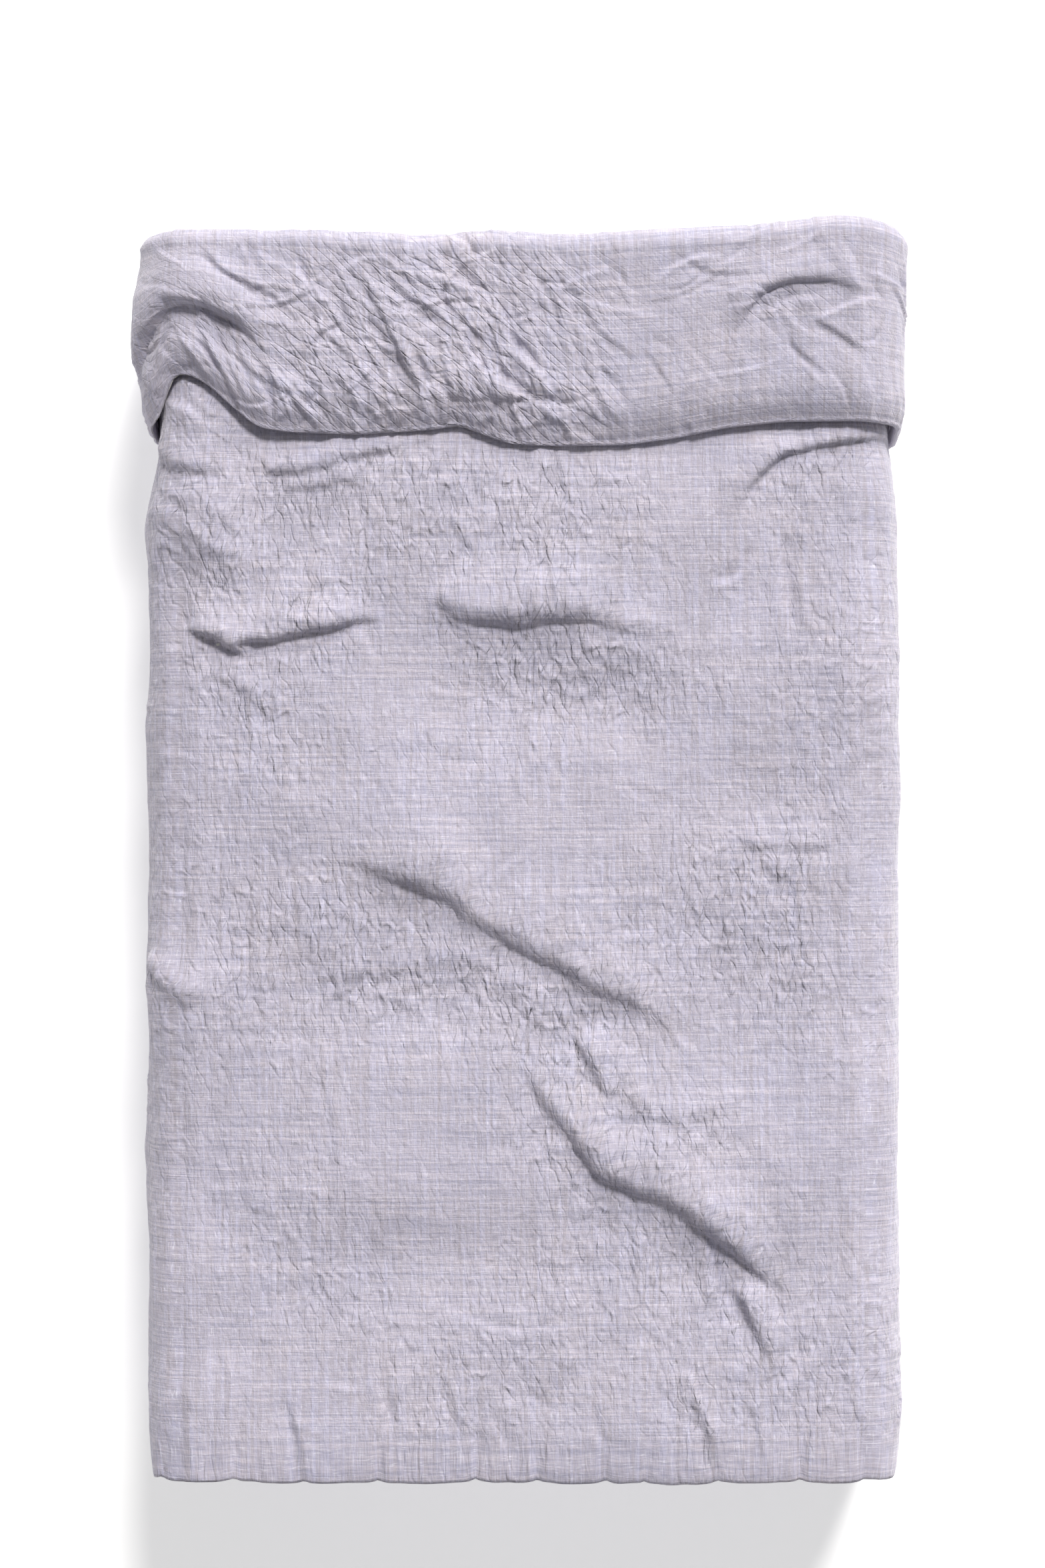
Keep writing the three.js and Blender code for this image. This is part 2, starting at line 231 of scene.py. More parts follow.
def over_foot(s, t, h):
    """The same for the two hems of the foot opening, which turn down over the foot."""
    s, t, h = np.broadcast_arrays(s, t, h)
    angle = np.clip(-t / PLACKET_BEND, 0, math.pi / 2)
    hang = np.maximum(0, -t - math.pi / 2 * PLACKET_BEND)
    radius = PLACKET_BEND + h
    y = FOOT_Y - radius * np.sin(angle) + 0.8 * MM * np.sin(s * 37) * ease(hang / 0.02)
    z = MATTRESS_TOP - PLACKET_BEND + radius * np.cos(angle) - hang
    return np.stack([s, y, z], -1)

# ---- How washed linen crumples: fields over the flat cloth, all on fixed seeds ----
PATCH_EDGE = 0.6  # how soft a patch's edge is, as a share of its size
FOLD_LEAN = 0.4  # how far a fold's crest slides over, as a share of its height
FOLD_ENDS = 0.3  # share of a fold's length over which each end fades
PATH_STEPS = 12  # steps to each span of a smooth path


def wandering(a, b, cell, seed):
    """Smooth noise from -1 to 1 whose bumps are about one cell wide."""
    lattice = np.random.default_rng(seed).uniform(-1, 1, (64, 64))
    i, j = np.floor(a / cell).astype(int), np.floor(b / cell).astype(int)
    u, v = ease(a / cell - i), ease(b / cell - j)

    def at(di, dj):
        return lattice[(i + di) % 64, (j + dj) % 64]

    return mix(mix(at(0, 0), at(1, 0), u), mix(at(0, 1), at(1, 1), u), v)


def creased(a, b, cell, stretch, heading, seed):
    """Noise from -1 to 1 that folds sharply along long wandering lines, as crushed cloth does."""
    c, si = math.cos(heading), math.sin(heading)
    bent = a + 0.6 * cell * wandering(a, b, 2.3 * cell, seed + 1)
    along, aside = (c * bent + si * b) / stretch, c * b - si * bent
    return 1 - 2.4 * np.abs(wandering(along, aside, cell, seed))


def smooth_path(points, steps):
    """A Catmull-Rom curve through the points, with so many steps to each span."""
    p = np.array([points[0], *points, points[-1]], float)
    u = np.linspace(0, 1, steps, endpoint=False)[:, None]
    spans = [
        0.5 * (2 * b + (c - a) * u + (2 * a - 5 * b + 4 * c - d) * u**2
               + (3 * b - a - 3 * c + d) * u**3)
        for a, b, c, d in zip(p, p[1:], p[2:], p[3:])
    ]
    return np.vstack([*spans, p[-1:]])


def blur(field, times):
    """Softens a field by so many passes of a small kernel."""
    for _ in range(times):
        p = np.pad(field, 1, mode="edge")
        sides = p[:-2, 1:-1] + p[2:, 1:-1] + p[1:-1, :-2] + p[1:-1, 2:]
        corners = p[:-2, :-2] + p[:-2, 2:] + p[2:, :-2] + p[2:, 2:]
        field = (4 * p[1:-1, 1:-1] + 2 * sides + corners) / 16
    return field


def lowest(field, times):
    """The lowest value near each point, so many grid steps away."""
    for _ in range(times):
        p = np.pad(field, 1, mode="edge")
        near = [p[1:-1, 1:-1], p[:-2, 1:-1], p[2:, 1:-1], p[1:-1, :-2], p[1:-1, 2:]]
        field = np.minimum.reduce(near)
    return field


def patch(x, y, centre, size):
    """A soft-edged oval mask, 1 inside."""
    away = np.hypot((x - centre[0]) / size[0], (y - centre[1]) / size[1])
    return ease((1 + PATCH_EDGE - away) / (2 * PATCH_EDGE))


class Cloth:
    """A grid on the flat cloth, and how far its points rise off it and slide over it."""

    def __init__(self, across, along):
        self.across, self.along = across, along
        self.s, self.t = np.meshgrid(across, along)
        self.rise = np.zeros_like(self.s)
        self.slide = np.zeros((*self.s.shape, 2))
        self.density = np.zeros_like(self.s)

    def window(self, low, high):
        i0, i1 = np.searchsorted(self.across, (low[0], high[0]))
        j0, j1 = np.searchsorted(self.along, (low[1], high[1]))
        return slice(j0, j1), slice(i0, i1)

    def facets(self, cell, stretch, heading, seed):
        """Crisp flat facets, as crushed linen has: -1 to 1 on random triangles."""
        dice = np.random.default_rng(seed)
        c, si = math.cos(heading), math.sin(heading)
        turn = np.array([[c, si], [-si, c]])
        scale = np.array([cell * stretch, cell])
        corners = np.array([(x, y) for x in self.across[[0, -1]] for y in self.along[[0, -1]]])
        flat = corners @ turn.T / scale
        low, high = np.floor(flat.min(0)) - 1, np.ceil(flat.max(0)) + 1
        gx, gy = np.meshgrid(np.arange(low[0], high[0] + 1), np.arange(low[1], high[1] + 1))
        points = np.stack([gx.ravel() + (gy.ravel() % 2) / 2, gy.ravel()], 1)
        points += dice.uniform(-0.42, 0.42, points.shape)
        heights = dice.uniform(-1, 1, len(points))
        found = geometry.delaunay_2d_cdt([Vector(p) for p in points], [], [], 0, 1e-6)
        places = (points * scale) @ turn
        made = np.zeros_like(self.s)
        origins = [found[3][k][0] for k in range(len(found[0]))]
        for triangle in found[2]:
            p = places[[origins[k] for k in triangle]]
            height = heights[[origins[k] for k in triangle]]
            rows, cols = self.window(p.min(0), p.max(0))
            edge = p[1:] - p[0]
            area = edge[0, 0] * edge[1, 1] - edge[0, 1] * edge[1, 0]
            if rows.start >= rows.stop or cols.start >= cols.stop or abs(area) < 1e-12:
                continue
            ds, dt = self.s[rows, cols] - p[0, 0], self.t[rows, cols] - p[0, 1]
            u = (ds * edge[1, 1] - dt * edge[1, 0]) / area
            v = (dt * edge[0, 0] - ds * edge[0, 1]) / area
            inside = (u >= -1e-6) & (v >= -1e-6) & (u + v <= 1 + 1e-6)
            plane = height[0] + u * (height[1] - height[0]) + v * (height[2] - height[0])
            made[rows, cols] = np.where(inside, plane, made[rows, cols])
        return made

    def near(self, path, reach):
        """Signed distance from a smooth path, left of it positive, and the share along it."""
        line = smooth_path(path, PATH_STEPS)
        rows, cols = self.window(line.min(0) - reach, line.max(0) + reach)
        s, t = self.s[rows, cols][..., None], self.t[rows, cols][..., None]
        nearest = ((s - line[:, 0]) ** 2 + (t - line[:, 1]) ** 2).argmin(-1)
        tangent = np.gradient(line, axis=0)
        tangent /= np.linalg.norm(tangent, axis=1, keepdims=True) + 1e-12
        ds, dt = s[..., 0] - line[nearest, 0], t[..., 0] - line[nearest, 1]
        side = tangent[nearest, 0] * dt - tangent[nearest, 1] * ds
        past = np.abs(tangent[nearest, 0] * ds + tangent[nearest, 1] * dt)
        return rows, cols, side, past, nearest / (len(line) - 1), tangent[nearest]

    def fold(self, path, height, roll, tail, sharp):
        """A fold whose crest runs a roll's width left of the path, where its valley is.

        It climbs gently to the crest and falls off quickly. A sharp one rolls right over
        into a pressed-in valley, a soft one lands gently.
        """
        rows, cols, side, past, share, tangent = self.near(path, 1.6 * roll + 2.6 * tail)
        s, t = self.s[rows, cols], self.t[rows, cols]
        side = side + 3.5 * MM * wandering(s, t, 0.045, 5) + 1.2 * MM * wandering(s, t, 0.015, 6)
        fade = ease(share / FOLD_ENDS) * ease((1 - share) / FOLD_ENDS)
        fade = fade * (1 + 0.3 * wandering(s + 9, t, 0.07, 7))
        fade = fade * np.exp(-((past / roll) ** 2))
        sharp = np.clip(sharp + 0.35 * wandering(s + 4, t, 0.05, 8), 0, 1)
        width = roll * (0.45 + 0.55 * fade)
        fall = np.exp(-((np.maximum(side - width, 0) / tail) ** 1.5))
        # the soft landing: no sharp line anywhere but a rather quick crest
        soft = np.exp(-((np.maximum(width - side, 0) / (0.8 * width)) ** 1.35)) * fall
        round_over = np.sqrt(1 - (1 - np.clip(side / width, 0, 1)) ** 2)
        over = 1.5 * round_over * fall - 0.5 * np.exp(-np.maximum(side, 0) / width)
        under = -0.5 * np.exp(-((np.maximum(-side, 0) / (0.8 * tail)) ** 1.3))
        rolled = np.where(side > 0, over, under)
        self.rise[rows, cols] += height * fade * mix(soft, rolled, sharp)
        push = FOLD_LEAN * height * fade * np.sin(math.pi * np.clip(side / (1.6 * width), 0, 1))
        self.slide[rows, cols, 0] += push * tangent[..., 1]
        self.slide[rows, cols, 1] -= push * tangent[..., 0]
        # the cloth is busiest just below the fold
        self.density[rows, cols] += 0.6 * fade * np.exp(-(((side + 0.3 * tail) / tail) ** 2))
        pressed = 0.14 * height * fade * sharp * np.exp(-np.abs(side) / (2.6 * MM))
        self.rise[rows, cols] -= pressed

    def crease(self, path, height, width, tilt):
        """A crushed crease: a narrow ridge, or a valley where height is negative."""
        rows, cols, side, past, share, _ = self.near(path, 5 * width)
        fade = np.sin(math.pi * np.clip(share, 0, 1)) ** 0.6 * np.exp(-((past / width) ** 2) / 4)
        ridge = np.exp(-np.abs(side) / width)
        step = tilt * side / width * np.exp(-np.abs(side) / (1.5 * width))
        self.rise[rows, cols] += height * (ridge + step) * fade

    def bump(self, centre, size, height, heading):
        """A soft rounded rise, or a hollow where height is negative."""
        c, si = math.cos(heading), math.sin(heading)
        ds, dt = self.s - centre[0], self.t - centre[1]
        a, b = (c * ds + si * dt) / size[0], (c * dt - si * ds) / size[1]
        self.rise += height * np.exp(-(a**2) - b**2)

    def scatter(self, count, heading, spread, longest, height, seed):
        """Short random creases, more of them where the cloth is more crushed."""
        dice = np.random.default_rng(seed)
        top = float(self.density.max())
        for _ in range(count):
            start = dice.uniform([self.across[0], self.along[0]], [self.across[-1], self.along[-1]])
            roll, length = dice.uniform(0, top), longest * dice.uniform(0.25, 1)
            way = heading(*start) + dice.normal(0, spread) + (dice.uniform() < 0.22) * 1.4
            bend, tall = dice.normal(0, 0.25), height * dice.uniform(0.4, 1.3)
            tall *= 1 if dice.uniform() < 0.55 else -1
            width, tilt = dice.uniform(1.5, 3.4) * MM, dice.uniform(-1.3, 1.3)
            j, i = np.searchsorted(self.along, start[1]), np.searchsorted(self.across, start[0])
            if roll > self.density[min(j, len(self.along) - 1), min(i, len(self.across) - 1)]:
                continue
            path = [start]
            for k in (-1, 0, 1):
                step = np.array([math.cos(way + bend * k), math.sin(way + bend * k)])
                path.append(path[-1] + length / 3 * step)
            self.crease(path, tall, width, tilt)

    def read(self, field, s, t):
        """A field of this cloth at other points, straight between the grid's own."""
        i = np.clip(np.searchsorted(self.across, s, side="right") - 1, 0, len(self.across) - 2)
        j = np.clip(np.searchsorted(self.along, t, side="right") - 1, 0, len(self.along) - 2)
        u = np.clip((s - self.across[i]) / (self.across[i + 1] - self.across[i]), 0, 1)
        v = np.clip((t - self.along[j]) / (self.along[j + 1] - self.along[j]), 0, 1)
        if field.ndim == 3:
            u, v = u[..., None], v[..., None]
        near = mix(field[j, i], field[j, i + 1], u)
        return mix(near, mix(field[j + 1, i], field[j + 1, i + 1], u), v)


def spaced(stops):
    """Grid lines from a list of (place, spacing up to the next place)."""
    lines = []
    for (start, gap), (end, _) in zip(stops, stops[1:]):
        lines.append(np.linspace(start, end, max(1, round((end - start) / gap)), endpoint=False))
    return np.concatenate([*lines, [stops[-1][0]]])


# Folds of the body: valley path as (x, y), height, roll, tail. Cloth is high left of the path.
BODY_FOLDS = [
    ([(-0.450, 0.303), (-0.419, 0.290), (-0.397, 0.279), (-0.366, 0.258)], 12, 15, 34, 0.8),
    ([(-0.392, 0.280), (-0.354, 0.284), (-0.318, 0.286), (-0.258, 0.299), (-0.18, 0.314)],
     13, 16, 38, 0.7),
    ([(-0.335, 0.300), (-0.292, 0.339), (-0.249, 0.353), (-0.15, 0.370)], 4, 20, 34, 0.1),
    ([(-0.13, 0.345), (-0.108, 0.329), (-0.056, 0.304), (0.054, 0.310), (0.106, 0.304),
      (0.19, 0.288)], 12, 24, 50, 0.35),
    ([(-0.30, -0.020), (-0.225, -0.018), (-0.165, -0.036), (-0.105, -0.062), (-0.065, -0.095),
      (0.000, -0.130), (0.060, -0.165), (0.110, -0.192), (0.180, -0.225), (0.23, -0.24)],
     15, 26, 70, 0.25),
    ([(-0.06, -0.185), (-0.029, -0.195), (0.027, -0.225), (0.080, -0.262)], 5, 30, 40, 0.0),
    ([(0.068, -0.235), (0.085, -0.275), (0.112, -0.330)], 6, 14, 28, 0.7),
    ([(0.115, -0.318), (0.16, -0.348), (0.22, -0.355), (0.30, -0.336)], 5, 22, 38, 0.1),
    ([(-0.02, -0.270), (0.015, -0.315), (0.060, -0.375), (0.100, -0.425), (0.150, -0.455),
      (0.205, -0.475), (0.265, -0.520), (0.32, -0.565), (0.38, -0.600)], 16, 25, 75, 0.3),
    ([(-0.370, 0.512), (-0.310, 0.508), (-0.245, 0.523), (-0.179, 0.536), (-0.09, 0.549)],
     7, 16, 26, 0.5),
    ([(-0.325, 0.484), (-0.270, 0.489), (-0.215, 0.504)], 4, 12, 20, 0.4),
    ([(-0.515, 0.560), (-0.472, 0.523), (-0.441, 0.510), (-0.400, 0.503)], 9, 18, 30, 0.4),
    ([(-0.515, 0.520), (-0.450, 0.466), (-0.415, 0.444), (-0.370, 0.420)], 7, 24, 38, 0.2),
    ([(-0.515, 0.470), (-0.463, 0.427), (-0.419, 0.375), (-0.375, 0.325)], 9, 34, 45, 0.1),
    ([(-0.43, 0.24), (-0.38, 0.215), (-0.33, 0.17)], 4, 16, 30, 0.1),
    ([(0.290, 0.445), (0.300, 0.480), (0.328, 0.516), (0.352, 0.532), (0.410, 0.546),
      (0.472, 0.556), (0.54, 0.560)], 10, 15, 26, 0.5),
    ([(0.281, -0.570), (0.298, -0.615), (0.330, -0.675)], 5, 12, 24, 0.6),
    ([(0.21, -0.68), (0.235, -0.74), (0.25, -0.80)], 4, 10, 20, 0.5),
    ([(-0.50, -0.140), (-0.475, -0.165), (-0.45, -0.21)], 6, 12, 24, 0.4),
    ([(0.33, 0.01), (0.36, -0.08), (0.365, -0.22)], 4, 16, 40, 0.1),
    ([(0.28, 0.012), (0.34, 0.004), (0.42, 0.012)], 3, 10, 30, 0.3),
    ([(-0.28, -0.172), (-0.15, -0.158), (-0.02, -0.152)], 4, 18, 40, 0.1),
]

# Folds of the turned part, the same way.
TURNED_FOLDS = [
    ([(-0.56, 0.610), (-0.535, 0.650), (-0.510, 0.690), (-0.475, 0.722), (-0.437, 0.7290),
      (-0.404, 0.7168), (-0.370, 0.6966), (-0.335, 0.660)], 18, 34, 45, 0.75),
    ([(-0.30, 0.690), (-0.262, 0.640), (-0.225, 0.600)], 4, 14, 26, 0.2),
    ([(-0.214, 0.765), (-0.183, 0.707), (-0.165, 0.659), (-0.140, 0.610)], 6, 11, 20, 0.5),
    ([(-0.125, 0.790), (-0.10, 0.74), (-0.07, 0.70), (-0.03, 0.675)], 5, 12, 22, 0.5),
    ([(-0.11, 0.592), (-0.07, 0.600), (0.0, 0.604), (0.06, 0.605)], 6, 18, 30, 0.3),
    ([(0.285, 0.690), (0.300, 0.718), (0.325, 0.744), (0.361, 0.750), (0.402, 0.748),
      (0.464, 0.740)], 8, 14, 26, 0.5),
]

# Where the foot edge is pinched between two puffs.
FOOT_PINCHES = [-0.475, -0.385, -0.29, -0.192, -0.063, 0.02, 0.111, 0.162, 0.26, 0.37, 0.455]

# Long creases: the path, the height of the ridge or valley and its half width in
# millimetres, and how much one side stands over the other.
BODY_CREASES = [
    ([(-0.080, 0.515), (-0.068, 0.480), (-0.056, 0.457)], -3.0, 3.0, 1.5),
    ([(-0.222, 0.500), (-0.213, 0.465), (-0.205, 0.430)], -2.2, 2.4, -1.0),
    ([(-0.099, 0.457), (-0.080, 0.425), (-0.050, 0.385)], 2.4, 3.4, 1.4),
    ([(0.018, 0.430), (0.034, 0.380), (0.045, 0.330)], -2.4, 3.0, -1.4),
    ([(0.045, 0.540), (0.060, 0.480), (0.063, 0.420)], 2.2, 3.0, 1.2),
    ([(-0.015, 0.285), (-0.024, 0.240), (-0.030, 0.190)], -2.4, 2.8, 1.6),
    ([(-0.218, 0.313), (-0.208, 0.290), (-0.196, 0.262)], -2.2, 3.0, 1.2),
    ([(0.345, 0.425), (0.348, 0.360), (0.358, 0.285)], -4.5, 5.0, 1.6),
    ([(0.364, 0.405), (0.375, 0.350), (0.384, 0.300)], 2.6, 3.4, -1.2),
    ([(0.245, 0.362), (0.285, 0.372), (0.306, 0.402)], -3.0, 3.4, 1.4),
    ([(0.45, 0.30), (0.44, 0.20), (0.455, 0.08)], -2.0, 3.2, 1.2),
    ([(-0.35, 0.02), (-0.36, -0.10), (-0.34, -0.24)], 1.8, 3.2, 1.2),
    ([(-0.27, -0.28), (-0.25, -0.38), (-0.26, -0.50)], -1.8, 3.0, -1.2),
    ([(0.40, -0.18), (0.42, -0.28), (0.405, -0.38)], -2.0, 3.0, 1.2),
    ([(-0.10, -0.60), (-0.02, -0.63), (0.08, -0.62)], -2.0, 3.2, 1.0),
    ([(0.242, -0.490), (0.252, -0.545), (0.265, -0.600)], -4.0, 3.6, 1.8),
    ([(0.278, -0.575), (0.292, -0.605), (0.308, -0.640)], -4.0, 4.4, -1.5),
    ([(0.218, -0.680), (0.236, -0.715), (0.246, -0.755)], -3.4, 3.4, 1.6),
    ([(0.302, -0.730), (0.310, -0.760), (0.317, -0.795)], -3.0, 3.0, -1.4),
    ([(0.347, 0.015), (0.349, -0.030), (0.352, -0.080)], -2.6, 3.6, 1.4),
    ([(0.120, -0.098), (0.147, -0.103), (0.176, -0.096)], -2.6, 3.6, 1.2),
    ([(0.385, -0.655), (0.365, -0.690), (0.335, -0.715)], 2.2, 3.0, 1.2),
    ([(-0.190, -0.700), (-0.180, -0.750), (-0.172, -0.800)], -2.6, 3.0, 1.4),
    ([(-0.110, -0.680), (-0.095, -0.730), (-0.075, -0.775)], -2.6, 3.4, -1.4),
    ([(-0.045, -0.745), (-0.020, -0.785), (0.000, -0.815)], -2.6, 3.0, 1.4),
    ([(-0.30, -0.690), (-0.31, -0.750), (-0.295, -0.805)], -2.2, 3.0, -1.2),
    ([(-0.40, -0.66), (-0.39, -0.73), (-0.41, -0.79)], 2.0, 3.0, 1.2),
    ([(-0.475, 0.615), (-0.440, 0.596), (-0.418, 0.570)], -4.0, 4.0, 1.5),
    ([(-0.445, 0.640), (-0.425, 0.605), (-0.405, 0.588)], 3.5, 3.5, -1.5),
]
TURNED_CREASES = [
    ([(-0.424, 0.803), (-0.397, 0.772), (-0.336, 0.742), (-0.297, 0.703)], -3.0, 3.4, 1.6),
    ([(-0.274, 0.700), (-0.245, 0.678), (-0.215, 0.650)], 2.6, 3.4, -1.4),
    ([(-0.192, 0.795), (-0.157, 0.747), (-0.108, 0.716)], -3.4, 3.2, 1.6),
    ([(-0.121, 0.812), (-0.091, 0.764), (-0.058, 0.752)], 3.0, 3.4, 1.2),
    ([(-0.087, 0.707), (-0.065, 0.659), (-0.012, 0.619), (0.023, 0.602), (0.062, 0.575)],
     -3.6, 3.6, -1.6),
    ([(-0.034, 0.745), (-0.021, 0.685), (0.010, 0.654), (0.054, 0.590)], 3.2, 3.6, 1.6),
    ([(-0.112, 0.690), (-0.104, 0.640), (-0.091, 0.590)], -3.0, 3.0, 1.4),
    ([(-0.150, 0.690), (-0.130, 0.655), (-0.105, 0.590)], 3.0, 3.2, -1.2),
    ([(-0.36, 0.800), (-0.30, 0.770), (-0.26, 0.735), (-0.235, 0.700)], 2.4, 3.6, 1.4),
    ([(-0.40, 0.680), (-0.36, 0.640), (-0.30, 0.610), (-0.26, 0.590)], -2.6, 3.4, 1.2),
    ([(-0.44, 0.690), (-0.415, 0.655), (-0.39, 0.625)], 2.4, 3.0, 1.2),
    ([(0.010, 0.790), (0.040, 0.740), (0.050, 0.690)], -2.6, 3.2, 1.4),
    ([(0.070, 0.760), (0.100, 0.700), (0.150, 0.660)], 2.2, 3.4, -1.2),
    ([(0.20, 0.800), (0.25, 0.770), (0.33, 0.765)], -2.0, 3.2, 1.0),
    ([(0.42, 0.800), (0.445, 0.740), (0.45, 0.680)], 2.0, 3.2, 1.2),
    ([(0.385, 0.706), (0.415, 0.690), (0.452, 0.666)], -3.0, 3.2, 1.4),
    ([(0.039, 0.747), (0.110, 0.728), (0.179, 0.711)], 1.6, 3.2, 1.0),
]


# Broad rises and hollows of the body: the middle as (x, y), size, height in millimetres, heading.
BODY_BUMPS = [
    ((0.06, 0.215), (0.18, 0.065), -11, -0.10), ((-0.05, 0.06), (0.33, 0.08), 4, 0),
    ((-0.16, -0.34), (0.17, 0.12), 6, 0.5), ((0.05, -0.54), (0.35, 0.07), -5, 0),
    ((-0.44, 0.60), (0.05, 0.05), 13, 0),
]

# Where the cloth is more crushed: how much, the middle as (x, y), size.
BODY_CRUSH = [
    (0.7, (0.10, 0.235), (0.17, 0.06)), (0.5, (-0.07, 0.46), (0.22, 0.08)),
    (0.5, (0.02, 0.40), (0.045, 0.10)), (0.4, (0.40, 0.30), (0.08, 0.30)),
    (0.35, (-0.33, -0.05), (0.12, 0.45)), (0.3, (0.10, -0.64), (0.42, 0.12)),
    (0.5, (0.22, -0.12), (0.16, 0.12)), (0.3, (-0.42, 0.52), (0.10, 0.14)),
]
TURNED_CRUSH = [(0.9, (-0.13, 0.68), (0.20, 0.13)), (0.4, (0.02, 0.60), (0.12, 0.06))]

# Crushed layers from coarse to fine: height in millimetres, size of a cell, how many times
# longer it is along its heading, how far that is turned, seed. Facets: and how often blurred.
CRUSH_RIDGES = [(1.1, 0.085, 1.7, 0, 0), (1.1, 0.046, 1.9, 0.35, 2), (1.0, 0.026, 1.8, -0.3, 4)]
CRUSH_FACETS = [
    (1.9, 0.036, 2.8, 0, 6, 1), (1.9, 0.017, 2.8, -0.2, 7, 0), (1.3, 0.0095, 2.4, 0.2, 8, 0),
]
SHORT_CREASES = 1100  # short creases drawn at random on each cloth


def on_body(x, y):
    """The place on the flat cloth of a point on the body."""
    return x, y - FOOT_Y


def on_turned(x, y):
    """The place on the flat cloth of a point on top of the turned part."""
    share = (TURN_Y - float(free_edge(x))) / TURN_LENGTH
    return x, TURN_START + (TURN_Y - y) / share


def press_folds(cloth, folds, creases, place, way=1):
    """Lays folds and long creases on a cloth. way is -1 where the cloth lies face down."""
    for path, height, roll, tail, sharp in folds:
        places = [place(*point) for point in path[::way]]
        cloth.fold(places, height * MM, roll * MM, tail * MM, sharp)
    for path, height, width, tilt in creases:
        cloth.crease([place(*point) for point in path], height * MM, width * MM, tilt)


def flat_top(s, reach):
    """1 on top of the bed, falling to 0 at so far from the middle."""
    return ease((reach - np.abs(s)) / 0.1)


def crush(cloth, density, heading, seed):
    """Crushed layers from coarse to fine, lengthened along one heading."""
    s, t = cloth.s, cloth.t
    for height, cell, stretch, turn, more in CRUSH_RIDGES:
        ridges = creased(s, t, cell, stretch, heading + turn, seed + more)
        cloth.rise += height * MM * density * ridges
    for height, cell, stretch, turn, more, times in CRUSH_FACETS:
        facets = blur(cloth.facets(cell, stretch, heading + turn, seed + more), times)
        cloth.rise += height * MM * density * facets


def crush_body(cloth):
    """The body as it lies: broad swells, folds, crushed facets and scattered creases."""
    s, t = cloth.s, cloth.t
    x, y = s, t + FOOT_Y
    top = flat_top(s, 0.55)
    cloth.rise += 6.0 * MM * wandering(s + 3, t, 0.21, 11) * top
    cloth.rise += 3.0 * MM * wandering(s + 5, t, 0.09, 12)
    for centre, size, height, heading in BODY_BUMPS:
        cloth.bump(on_body(*centre), size, height * MM, heading)
    # the body is fullest a little right of its middle and falls away to both sides
    fall = 15 * MM * ease((-0.08 - x) / 0.42) + 9 * MM * ease((x - 0.16) / 0.34)
    cloth.rise -= flat_top(s, 0.57) * fall
    # and it is pressed down along the free edge of the turned part
    below = np.maximum(free_edge(s) - y, 0)
    cloth.rise -= 6 * MM * np.exp(-((below / 0.035) ** 1.3)) * top
    for place in FOOT_PINCHES:
        lean = 0.03 * math.sin(91 * place)
        path = [(place, 0.004), (place + 0.3 * lean, 0.04), (place + lean, 0.10)]
        cloth.crease(path, -3.4 * MM, 3.6 * MM, 1.5 * math.sin(57 * place))
    press_folds(cloth, BODY_FOLDS, BODY_CREASES, on_body)

    density = cloth.density + 0.40 + 0.3 * wandering(s, t, 0.12, 21)
    density += sum(more * patch(x, y, centre, size) for more, centre, size in BODY_CRUSH)
    density += 0.3 * ease((np.abs(s) - 0.45) / 0.05)
    cloth.density = density = np.clip(density, 0.25, 1.15)
    crush(cloth, 0.66 * density, 1.30, 30)
    streaks = ease((np.abs(s + 0.05) - 0.1) / 0.3)
    cloth.rise += 1.4 * MM * streaks * blur(cloth.facets(0.013, 6.0, 1.52, 34), 1)
    cloth.scatter(SHORT_CREASES, lambda a, b: 1.35, 0.30, 0.11, 1.6 * MM, 41)


def crush_turned(cloth):
    """The turned part: the same cloth, more crushed left of the middle."""
    s, t = cloth.s, cloth.t
    y = TURN_Y + TURN_START - t
    cloth.rise += 3.0 * MM * wandering(s + 1, t, 0.2, 51)
    cloth.rise += 2.0 * MM * wandering(s + 2, t, 0.08, 52)
    press_folds(cloth, TURNED_FOLDS, TURNED_CREASES, on_turned, way=-1)
    cloth.rise -= 6 * MM * ease((-0.12 - s) / 0.3) * flat_top(s, 0.57)
    density = cloth.density + 0.32 + 0.2 * wandering(s, t, 0.1, 61)
    density += sum(more * patch(s, y, centre, size) for more, centre, size in TURNED_CRUSH)
    density -= 0.30 * ease((s - 0.06) / 0.12)
    cloth.density = density = np.clip(density, 0.22, 1.25)
    crush(cloth, 0.76 * density, 1.05, 70)
    cloth.rise += 0.7 * MM * density * cloth.facets(0.007, 1.8, 1.2, 79)

    def heading(a, b):
        return 1.0 + 0.35 * ease((a + 0.25) / 0.3)

    cloth.scatter(SHORT_CREASES, heading, 0.35, 0.13, 2.5 * MM, 81)


# ---- Meshes ----
PAD_CRUMPLE = 0.4  # how crushed a strip or a pad is, the same all over
LATHE_SIDES = 32
STITCH_SHARE = 0.78  # of the pitch that a stitch covers
THREAD_LIFT = 0.3 * MM  # how far above the cloth a stitch line lies


